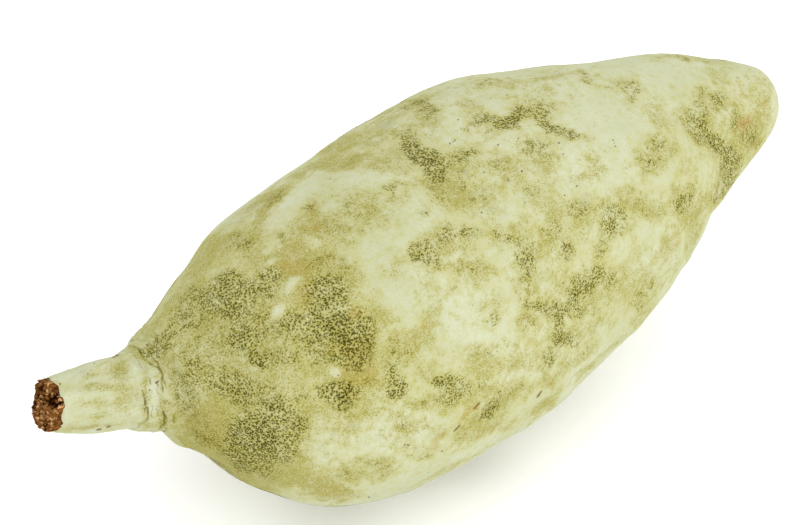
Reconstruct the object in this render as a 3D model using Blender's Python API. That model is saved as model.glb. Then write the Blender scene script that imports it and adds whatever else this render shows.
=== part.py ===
"""A baobab fruit lying on its belly: the felt-covered pod and its short, thick, broken stalk.

Metres, +Z up. The stalk points toward -X and the nose toward +X. The origin is on the ground, under
the middle of the whole fruit's box. Sizes below are in millimetres, and MM turns them to metres.
"""

import math

import bmesh
import bpy
import numpy as np

MM = 0.001

# Pod stations from the neck to the tip of the nose: along, radius, side, height.
# Side (toward +Y) and height (up) place the middle line, which sags at the belly and rises to the nose.
POD_STATIONS = (
    (0.0, 13.0, -1.0, 4.0),
    (3.0, 17.5, -4.0, 3.0),
    (9.0, 22.5, -6.0, 2.0),
    (18.0, 31.0, -8.5, 0.0),
    (36.0, 40.5, -8.0, -2.5),
    (61.0, 45.5, -6.0, -3.0),
    (88.0, 47.0, -1.5, -3.5),
    (114.0, 45.5, 2.0, -2.5),
    (137.0, 39.0, 2.0, 0.5),
    (156.0, 31.5, 0.5, 3.5),
    (172.0, 24.5, 1.5, 6.0),
    (185.0, 18.5, 2.0, 7.0),
    (196.0, 13.5, 1.0, 8.0),
    (203.5, 8.0, 0.5, 8.0),
    (206.5, 0.0, 0.5, 8.0),
)
POD_RINGS = 46
POD_SEGMENTS = 64
FLAT_SPOT_DEPTH = 0.6

# Low relief of the pod: five faint lengthwise ridges and slow lumps.
RIDGE_COUNT = 5
RIDGE_HEIGHT = 0.45
RIDGE_PHASE = math.radians(20.0)
LUMP_HEIGHT = 0.5
LUMP_SPACING = 13.0
LUMP_DRIFT = 31.0
RELIEF_FADE_RADIUS = 20.0

# The raised shoulder that the nose stands behind, and the groove in front of it, on one side only.
SHOULDER_ALONG = 166.5
SHOULDER_SWEEP = 35.0
SHOULDER_ANGLE = math.radians(172.0)
SHOULDER_SPREAD = math.radians(50.0)
SHOULDER_HEIGHT = 0.8
SHOULDER_WIDTH = 5.0
GROOVE_DEPTH = 1.8
GROOVE_WIDTH = 6.0
GROOVE_OFFSET = 8.0

# Stalk: the way along it and its radius there, from the pod's neck to the broken end.
STALK_GAP = 0.3
STALK_STATIONS = (
    (0.0, 11.4),
    (2.0, 12.2),
    (5.0, 11.2),
    (9.0, 10.3),
    (14.0, 9.6),
    (20.0, 8.6),
    (25.0, 7.7),
    (29.0, 7.0),
)
STALK_END_SIDE = 2.5
STALK_END_RISE = 6.5
STALK_BEND_POWER = 1.15
STALK_SQUARE_ALONG = 6.0
STALK_RINGS = 20
STALK_SEGMENTS = 36
STALK_RIDGE_COUNT = 7
STALK_RIDGE_HEIGHT = 0.25
RING_LINE_ALONG = 9.0
RING_LINE_DEPTH = 0.25
RING_LINE_WIDTH = 1.0

# The torn end: its ragged rim and the crumbs across it.
TORN_RINGS = 5
TORN_RIM_WAVE = 0.5
TORN_RIM_SLANT = 0.8
TORN_RIM_START_POWER = 4
TORN_CRUMB = 0.5
TORN_DOME = 1.8
TORN_SEED = 7

# Felt colours, linear: the pod's is the mean of its pale felt and its olive worn patches.
POD_COLOUR = (0.515, 0.497, 0.216)
STALK_COLOUR = (0.617, 0.617, 0.319)
FELT_ROUGHNESS = 0.9


def clear_scene():
    """Remove every object that the scene starts with."""
    for thing in list(bpy.data.objects):
        bpy.data.objects.remove(thing, do_unlink=True)


def smooth_stations(stations, fraction, round_end):
    """Read a smooth curve through the stations at fractions from 0 to 1.

    Each column follows a Catmull-Rom curve. With round_end the last station is on the middle line,
    and the curve meets it square, as a dome does.
    """
    points = np.asarray(stations, dtype=float)
    before = 2.0 * points[0] - points[1]
    after = 2.0 * points[-1] - points[-2]
    if round_end:
        after = points[-2].copy()
        after[1] = -after[1]
    padded = np.vstack([before, points, after])
    place = np.clip(fraction, 0.0, 1.0) * (len(points) - 1)
    index = np.minimum(place.astype(int), len(points) - 2)
    f = (place - index)[:, None]
    p0, p1, p2, p3 = (padded[index + k] for k in range(4))
    curve = 2.0 * p1 + (p2 - p0) * f
    curve += (2.0 * p0 - 5.0 * p1 + 4.0 * p2 - p3) * f**2
    curve += (3.0 * p1 - p0 - 3.0 * p2 + p3) * f**3
    return 0.5 * curve


def even_fractions(stations, share, round_end):
    """Turn shares of the outline's length into fractions of the stations, so that rings are even."""
    fine = np.linspace(0.0, 1.0, 800)
    outline = smooth_stations(stations, fine, round_end)[:, :2]
    steps = np.linalg.norm(np.diff(outline, axis=0), axis=1)
    length = np.concatenate([[0.0], np.cumsum(steps)])
    return np.interp(share * length[-1], length, fine)


def angle_between(angle, centre):
    """Return the signed turn from centre to angle, between -pi and pi."""
    return (angle - centre + np.pi) % (2.0 * np.pi) - np.pi


def bump(distance, width):
    """Return a bell curve of height 1 and the given width."""
    return np.exp(-((distance / width) ** 2))


def pod_relief(along, angle):
    """Return how far the skin stands out from the round section, in millimetres."""
    length = POD_STATIONS[-1][0]
    belly = np.sin(np.pi * np.clip(along / length, 0.0, 1.0))
    ridges = RIDGE_HEIGHT * belly * np.cos(RIDGE_COUNT * angle + RIDGE_PHASE)
    lumps = np.sin(along / LUMP_SPACING + 2.0 * np.sin(angle)) * np.cos(2.0 * angle + along / LUMP_DRIFT)
    turn = angle_between(angle, SHOULDER_ANGLE)
    side = bump(turn, SHOULDER_SPREAD)
    ahead = along - SHOULDER_ALONG + SHOULDER_SWEEP * (1.0 - np.cos(turn))
    shoulder = SHOULDER_HEIGHT * bump(ahead, SHOULDER_WIDTH)
    groove = GROOVE_DEPTH * bump(ahead - GROOVE_OFFSET, GROOVE_WIDTH)
    return ridges + LUMP_HEIGHT * belly * lumps + side * (shoulder - groove)


def pod_surface(share, angle):
    """Return points on the pod's skin, in millimetres, for shares of its outline and angles round it."""
    fraction = even_fractions(POD_STATIONS, share, True)
    along, radius, side, height = smooth_stations(POD_STATIONS, fraction, True).T
    radius = np.maximum(radius, 0.0)
    reach = radius + pod_relief(along, angle) * np.minimum(radius / RELIEF_FADE_RADIUS, 1.0)
    return np.stack([along, side + reach * np.cos(angle), height + reach * np.sin(angle)], axis=1)


def press_flat_spot(points):
    """Press the lowest skin of the belly flat, so that the pod lies still."""
    ground = points[:, 2].min() + FLAT_SPOT_DEPTH
    points[:, 2] = np.maximum(points[:, 2], ground)
    return points


def stalk_centre(way):
    """Return the stalk's middle line at distances from the neck, and the direction its sections face.

    The first section faces straight back from the pod, and the sections turn to follow the bend
    over the next few millimetres.
    """
    length = STALK_STATIONS[-1][0]
    part = np.clip(way / length, 0.0, None)
    _, _, neck_side, neck_height = POD_STATIONS[0]
    bend = part**STALK_BEND_POWER
    slope = STALK_BEND_POWER * part ** (STALK_BEND_POWER - 1.0) / length
    centre = np.stack(
        [-STALK_GAP - way, neck_side + STALK_END_SIDE * bend, neck_height + STALK_END_RISE * bend], axis=1
    )
    lean = slope * np.clip(way / STALK_SQUARE_ALONG, 0.0, 1.0)
    forward = np.stack([-np.ones_like(way), STALK_END_SIDE * lean, STALK_END_RISE * lean], axis=1)
    return centre, forward / np.linalg.norm(forward, axis=1)[:, None]


def around_stalk(way, radius, angle):
    """Return points at a radius and angle round the stalk's middle line."""
    centre, forward = stalk_centre(way)
    side = np.cross((0.0, 0.0, 1.0), forward)
    side /= np.linalg.norm(side, axis=1)[:, None]
    up = np.cross(forward, side)
    return centre + radius[:, None] * (np.cos(angle)[:, None] * side + np.sin(angle)[:, None] * up)


def torn_rim(angle):
    """Return how far the ragged rim reaches past the stalk's end, in millimetres; it is shorter on top."""
    waves = np.sin(3.0 * angle + 0.8) + 0.6 * np.sin(7.0 * angle)
    return TORN_RIM_WAVE * waves - TORN_RIM_SLANT * np.sin(angle)


def stalk_surface(ring, angle):
    """Return points on the stalk for ring numbers from the rim at the neck to the torn face's middle."""
    length = STALK_STATIONS[-1][0]
    sleeve_rings = STALK_RINGS - TORN_RINGS
    share = np.clip(ring / sleeve_rings, 0.0, 1.0)
    way, radius = smooth_stations(STALK_STATIONS, even_fractions(STALK_STATIONS, share, False), False).T
    ridges = STALK_RIDGE_HEIGHT * np.cos(STALK_RIDGE_COUNT * angle)
    ridges = ridges * np.clip(way / STALK_SQUARE_ALONG, 0.0, 1.0)
    radius = radius + ridges - RING_LINE_DEPTH * bump(way - RING_LINE_ALONG, RING_LINE_WIDTH)
    way = way + torn_rim(angle) * (way / length) ** TORN_RIM_START_POWER

    inward = np.clip((ring - sleeve_rings) / TORN_RINGS, 0.0, 1.0)
    crumbs = np.random.default_rng(TORN_SEED).uniform(-1.0, 1.0, len(ring)) * TORN_CRUMB
    face = inward > 0.0
    dome = TORN_DOME * np.sin(0.5 * np.pi * inward)
    way = np.where(face, way * (1.0 - inward) + length * inward + dome + crumbs, way)
    radius = radius * (1.0 - inward)
    return around_stalk(way, radius, angle)


def ball_rings(rings, segments):
    """Make a ball with its poles on X, and read each vertex's ring number and angle round X.

    The first pole, toward -X, is ring 0, and the other pole is the last ring.
    """
    ball = bmesh.new()
    bmesh.ops.create_uvsphere(ball, u_segments=segments, v_segments=rings, radius=1.0)
    spots = np.array([vertex.co[:] for vertex in ball.verts])
    ring = np.rint(np.arccos(np.clip(-spots[:, 2], -1.0, 1.0)) / np.pi * rings)
    angle = np.arctan2(spots[:, 1], spots[:, 0])
    return ball, ring, angle


def plain_material(name, colour, roughness):
    """Make a Principled BSDF material of one colour."""
    material = bpy.data.materials.new(name)
    material.use_nodes = True
    shader = material.node_tree.nodes["Principled BSDF"]
    shader.inputs["Base Color"].default_value = (*colour, 1.0)
    shader.inputs["Roughness"].default_value = roughness
    shader.inputs["Metallic"].default_value = 0.0
    return material


def finish_object(name, ball, points, material, collection):
    """Move the ball's vertices to their places, in metres, and link it as one named object."""
    for vertex, place in zip(ball.verts, points * MM):
        vertex.co = place
    mesh = bpy.data.meshes.new(name)
    ball.to_mesh(mesh)
    ball.free()
    mesh.shade_smooth()
    mesh.materials.append(material)
    thing = bpy.data.objects.new(name, mesh)
    collection.objects.link(thing)
    return thing


def pod_points(ring, angle):
    """Place the pod's vertices: a flat disc at the neck, then the skin to the tip of the nose."""
    share = np.clip((ring - 1.0) / (POD_RINGS - 1.0), 0.0, 1.0)
    points = pod_surface(share, angle)
    _, _, neck_side, neck_height = POD_STATIONS[0]
    points[ring == 0.0] = (0.0, neck_side, neck_height)
    return press_flat_spot(points)


def stalk_points(ring, angle):
    """Place the stalk's vertices: a flat disc at the neck, the sleeve, then the torn face."""
    points = stalk_surface(ring - 1.0, angle)
    _, _, neck_side, neck_height = POD_STATIONS[0]
    points[ring == 0.0] = (-STALK_GAP, neck_side, neck_height)
    return points


def build():
    """Build the fruit and put the origin on the ground under the middle of its box."""
    clear_scene()
    collection = bpy.data.collections.new("baobab_fruit_pod")
    bpy.context.scene.collection.children.link(collection)

    pod_ball, pod_ring, pod_angle = ball_rings(POD_RINGS, POD_SEGMENTS)
    stalk_ball, stalk_ring, stalk_angle = ball_rings(STALK_RINGS + 1, STALK_SEGMENTS)
    pod = pod_points(pod_ring, pod_angle)
    stalk = stalk_points(stalk_ring, stalk_angle)

    both = np.vstack([pod, stalk])
    low, high = both.min(axis=0), both.max(axis=0)
    origin = np.array([(low[0] + high[0]) / 2.0, (low[1] + high[1]) / 2.0, low[2]])
    pod_felt = plain_material("pod_felt", POD_COLOUR, FELT_ROUGHNESS)
    stalk_felt = plain_material("stalk_felt", STALK_COLOUR, FELT_ROUGHNESS)
    finish_object("pod", pod_ball, pod - origin, pod_felt, collection)
    finish_object("stalk", stalk_ball, stalk - origin, stalk_felt, collection)


build()
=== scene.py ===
"""Looks of a baobab fruit.

It is a pod in pale velvety felt, worn to olive and pitted in patches, with a blunt nose behind a
raised shoulder, and a short felted stalk with a collar ring and a crumbly torn end.

Sizes inside the classes are in millimetres, in the fruit's own frame: along runs from the neck to
the nose, side is toward +Y and height is up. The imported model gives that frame's place.
"""

import logging
import math
from dataclasses import dataclass, fields
from enum import Enum
from typing import Any

import bpy
import numpy as np
from mathutils import Matrix, Vector
from numpy.typing import NDArray


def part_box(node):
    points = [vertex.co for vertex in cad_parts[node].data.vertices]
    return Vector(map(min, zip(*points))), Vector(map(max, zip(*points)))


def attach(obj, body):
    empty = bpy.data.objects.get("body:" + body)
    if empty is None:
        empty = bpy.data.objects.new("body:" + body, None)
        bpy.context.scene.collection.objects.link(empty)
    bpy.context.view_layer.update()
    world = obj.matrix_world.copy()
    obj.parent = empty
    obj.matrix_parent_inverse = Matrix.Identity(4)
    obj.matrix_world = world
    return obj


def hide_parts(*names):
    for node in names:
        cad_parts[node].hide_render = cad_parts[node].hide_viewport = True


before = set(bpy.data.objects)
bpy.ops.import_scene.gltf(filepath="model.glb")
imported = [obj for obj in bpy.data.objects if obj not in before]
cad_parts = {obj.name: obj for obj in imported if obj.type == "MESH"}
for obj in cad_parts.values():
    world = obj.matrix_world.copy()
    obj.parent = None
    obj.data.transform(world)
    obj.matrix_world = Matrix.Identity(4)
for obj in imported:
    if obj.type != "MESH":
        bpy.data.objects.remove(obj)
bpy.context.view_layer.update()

Array = NDArray[np.float64]
MM = 0.001
# A distance in millimetres at which no crack or nick shows
FAR_OFF = 9.0
LOG = logging.getLogger("baobab_fruit")


def smoothstep(low: float, high: float, value: Array) -> Array:
    """Rise smoothly from 0 at low to 1 at high; high may be the smaller one, to fall instead.

    Args:
        low: the value that gives 0.
        high: the value that gives 1.
        value: the values to turn.

    Returns:
        The turned values, from 0 to 1.
    """
    part = np.clip((value - low) / (high - low), 0.0, 1.0)
    return part * part * (3.0 - 2.0 * part)


def bell(distance: Array, width: float) -> Array:
    """Return a bell curve of height 1: e to the minus (distance over width) squared."""
    return np.exp(-((distance / width) ** 2))


def turn_from(middle: float, angle: Array) -> Array:
    """Return each angle less a middle one, brought to within half a turn of nought."""
    return (angle - middle + np.pi) % (2.0 * np.pi) - np.pi


@dataclass(frozen=True)
class SolidNoise:
    """Smooth noise that fills space, from seeded values on a cubic lattice that repeats."""

    seed: int
    cells: int = 48

    def values(self, points: Array, spacing: float) -> Array:
        """Blend the eight lattice values round each point, with smooth weights.

        Args:
            points: places in millimetres, one row each.
            spacing: the lattice's pitch in millimetres.

        Returns:
            One value from -1 to 1 for each point.
        """
        lattice = np.random.default_rng(self.seed).uniform(-1.0, 1.0, (self.cells,) * 3)
        place = points / spacing
        corner = np.floor(place).astype(int)
        part = place - corner
        part = part * part * (3.0 - 2.0 * part)
        total = np.zeros(len(points))
        for dx, dy, dz in np.ndindex(2, 2, 2):
            weight = np.where(dx, part[:, 0], 1.0 - part[:, 0])
            weight = weight * np.where(dy, part[:, 1], 1.0 - part[:, 1])
            weight = weight * np.where(dz, part[:, 2], 1.0 - part[:, 2])
            index = (corner + (dx, dy, dz)) % self.cells
            total += weight * lattice[index[:, 0], index[:, 1], index[:, 2]]
        return total

    def layers(self, points: Array, spacing: float, count: int) -> Array:
        """Add layers of noise, each at half the spacing and half the height of the one before."""
        total = np.zeros(len(points))
        for layer in range(count):
            total += self.values(points + 17.3 * layer, spacing / 2.0**layer) / 2.0**layer
        return total


@dataclass(frozen=True)
class Stations:
    """A smooth curve through given rows, whose first two columns are a turned outline."""

    rows: tuple[tuple[float, ...], ...]
    round_end: bool

    def read(self, fraction: Array) -> Array:
        """Read the Catmull-Rom curve at fractions from 0 to 1 of the stations.

        Between two rows it is the cubic that passes through both and leaves each parallel to the
        line between that row's neighbours. A round end meets the middle line square, as a dome.

        Args:
            fraction: places along the stations.

        Returns:
            One row of columns for each fraction.
        """
        points = np.asarray(self.rows)
        after = 2.0 * points[-1] - points[-2]
        if self.round_end:
            after = points[-2] * np.where(np.arange(points.shape[1]) == 1, -1.0, 1.0)
        padded = np.vstack([2.0 * points[0] - points[1], points, after])
        place = np.clip(fraction, 0.0, 1.0) * (len(points) - 1)
        index = np.minimum(place.astype(int), len(points) - 2)
        f = (place - index)[:, None]
        p0, p1, p2, p3 = (padded[index + step] for step in range(4))
        curve = 2.0 * p1 + (p2 - p0) * f
        curve += (2.0 * p0 - 5.0 * p1 + 4.0 * p2 - p3) * f**2
        curve += (3.0 * p1 - p0 - 3.0 * p2 + p3) * f**3
        return 0.5 * curve

    def even(self, share: Array) -> Array:
        """Read the curve at shares of its outline's length, so that rings lie evenly."""
        fine = np.linspace(0.0, 1.0, 2000)
        steps = np.linalg.norm(np.diff(self.read(fine)[:, :2], axis=0), axis=1)
        length = np.concatenate([[0.0], np.cumsum(steps)])
        return self.read(np.interp(share * length[-1], length, fine))


@dataclass(frozen=True)
class PhotoCamera:
    """The camera at the photograph's viewing angle, and where it sees each point."""

    azimuth: float = -35.0
    elevation: float = 40.0
    distance: float = 1000.0
    pixels_per_mm: float = 3.72
    aim_pixel: tuple[float, float] = (398.0, 283.0)
    aim_along: float = 78.0
    width: float = 800.0
    height: float = 525.0
    sensor: float = 36.0

    def axes(self) -> tuple[Array, Array, Array]:
        """Return the camera's right, up and back directions."""
        turn, rise = math.radians(self.azimuth), math.radians(self.elevation)
        back = np.array(
            [math.sin(turn) * math.cos(rise), -math.cos(turn) * math.cos(rise), math.sin(rise)]
        )
        right = np.array([math.cos(turn), math.sin(turn), 0.0])
        return right, np.cross(back, right), back

    def middle(self) -> Array:
        """Return the point in the fruit's frame that the picture's middle looks at."""
        right, up, _ = self.axes()
        across = (self.width / 2.0 - self.aim_pixel[0]) / self.pixels_per_mm
        rise = (self.aim_pixel[1] - self.height / 2.0) / self.pixels_per_mm
        return np.array([self.aim_along, 0.0, 0.0]) + across * right + rise * up

    def pixels(self, points: Array) -> Array:
        """Return the pixel at which the camera sees each point of the fruit's frame."""
        right, up, back = self.axes()
        from_middle = points - self.middle()
        scale = self.pixels_per_mm * self.distance / (self.distance - from_middle @ back)
        across = self.width / 2.0 + (from_middle @ right) * scale
        down = self.height / 2.0 - (from_middle @ up) * scale
        return np.stack([across, down], axis=1)

    def facing(self, points: Array, normals: Array) -> Array:
        """Return how squarely each point's skin faces the camera, from -1 to 1."""
        back = self.axes()[2]
        sight = self.middle() + self.distance * back - points
        sight /= np.linalg.norm(sight, axis=1)[:, None]
        return np.einsum("ij,ij->i", sight, normals)

    def place(self, shift: Array) -> bpy.types.Object:
        """Make Blender's camera and make it the scene's own.

        Args:
            shift: the fruit frame's place in the scene, in millimetres.

        Returns:
            The camera object.
        """
        data = bpy.data.cameras.new("photo_camera")
        data.sensor_width = self.sensor
        data.lens = self.pixels_per_mm * self.distance * self.sensor / self.width
        camera = bpy.data.objects.new("photo_camera", data)
        right, up, back = self.axes()
        eye = (self.middle() + self.distance * back + shift) * MM
        turned = Matrix((right, up, back)).transposed().to_4x4()
        turned.translation = eye
        camera.matrix_world = turned
        bpy.context.scene.collection.objects.link(camera)
        bpy.context.scene.camera = camera
        return camera


class Wear(Enum):
    """The kinds of mark on the felt; each value is the name of its mesh attribute."""

    WORN = "worn"
    PITTED = "pitted"
    RUST = "rust"
    SCUFF = "scuff"
    BLUSH = "blush"
    FELTED = "felted"


@dataclass(frozen=True)
class Blot:
    """A soft oval patch, placed by the pixel of the photograph where its middle shows."""

    x: float
    y: float
    long: float
    wide: float
    turn: float = 0.0
    strength: float = 1.0

    def cover(self, pixels: Array, reach: float = 1.0) -> Array:
        """Return how much the patch covers each pixel: its strength inside, falling softly to 0.

        Args:
            pixels: the pixels at which the points show.
            reach: how many times its own size the patch is taken to be.

        Returns:
            The cover, from 0 to the patch's strength.
        """
        turn = math.radians(self.turn)
        dx, dy = pixels[:, 0] - self.x, pixels[:, 1] - self.y
        forward = (dx * math.cos(turn) + dy * math.sin(turn)) / self.long
        across = (dy * math.cos(turn) - dx * math.sin(turn)) / self.wide
        return self.strength * smoothstep(1.5, 0.5, np.hypot(forward, across) / reach)


@dataclass(frozen=True)
class Line:
    """A thin line on the skin through pixels of the photograph."""

    points: tuple[tuple[float, float], ...]

    def distance(self, pixels: Array) -> Array:
        """Return each pixel's distance to the nearest stretch of the line."""
        nearest = np.full(len(pixels), 1e3)
        for start, end in zip(self.points[:-1], self.points[1:]):
            span = np.subtract(end, start)
            length = max(float(span @ span), 1e-6)
            part = np.clip(((pixels - start) @ span) / length, 0.0, 1.0)
            gap = np.linalg.norm(pixels - start - part[:, None] * span, axis=1)
            nearest = np.minimum(nearest, gap)
        return nearest


def ovals(*rows: tuple[float, ...]) -> tuple[Blot, ...]:
    """Make patches from rows that give a patch's fields in order."""
    return tuple(Blot(*row) for row in rows)


def layered_cover(blots: tuple[Blot, ...], pixels: Array, reach: float = 1.0) -> Array:
    """Lay patches over each other: 1 minus the product of what each leaves bare."""
    bare = np.ones(len(pixels))
    for blot in blots:
        bare *= 1.0 - blot.cover(pixels, reach)
    return 1.0 - bare


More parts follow.
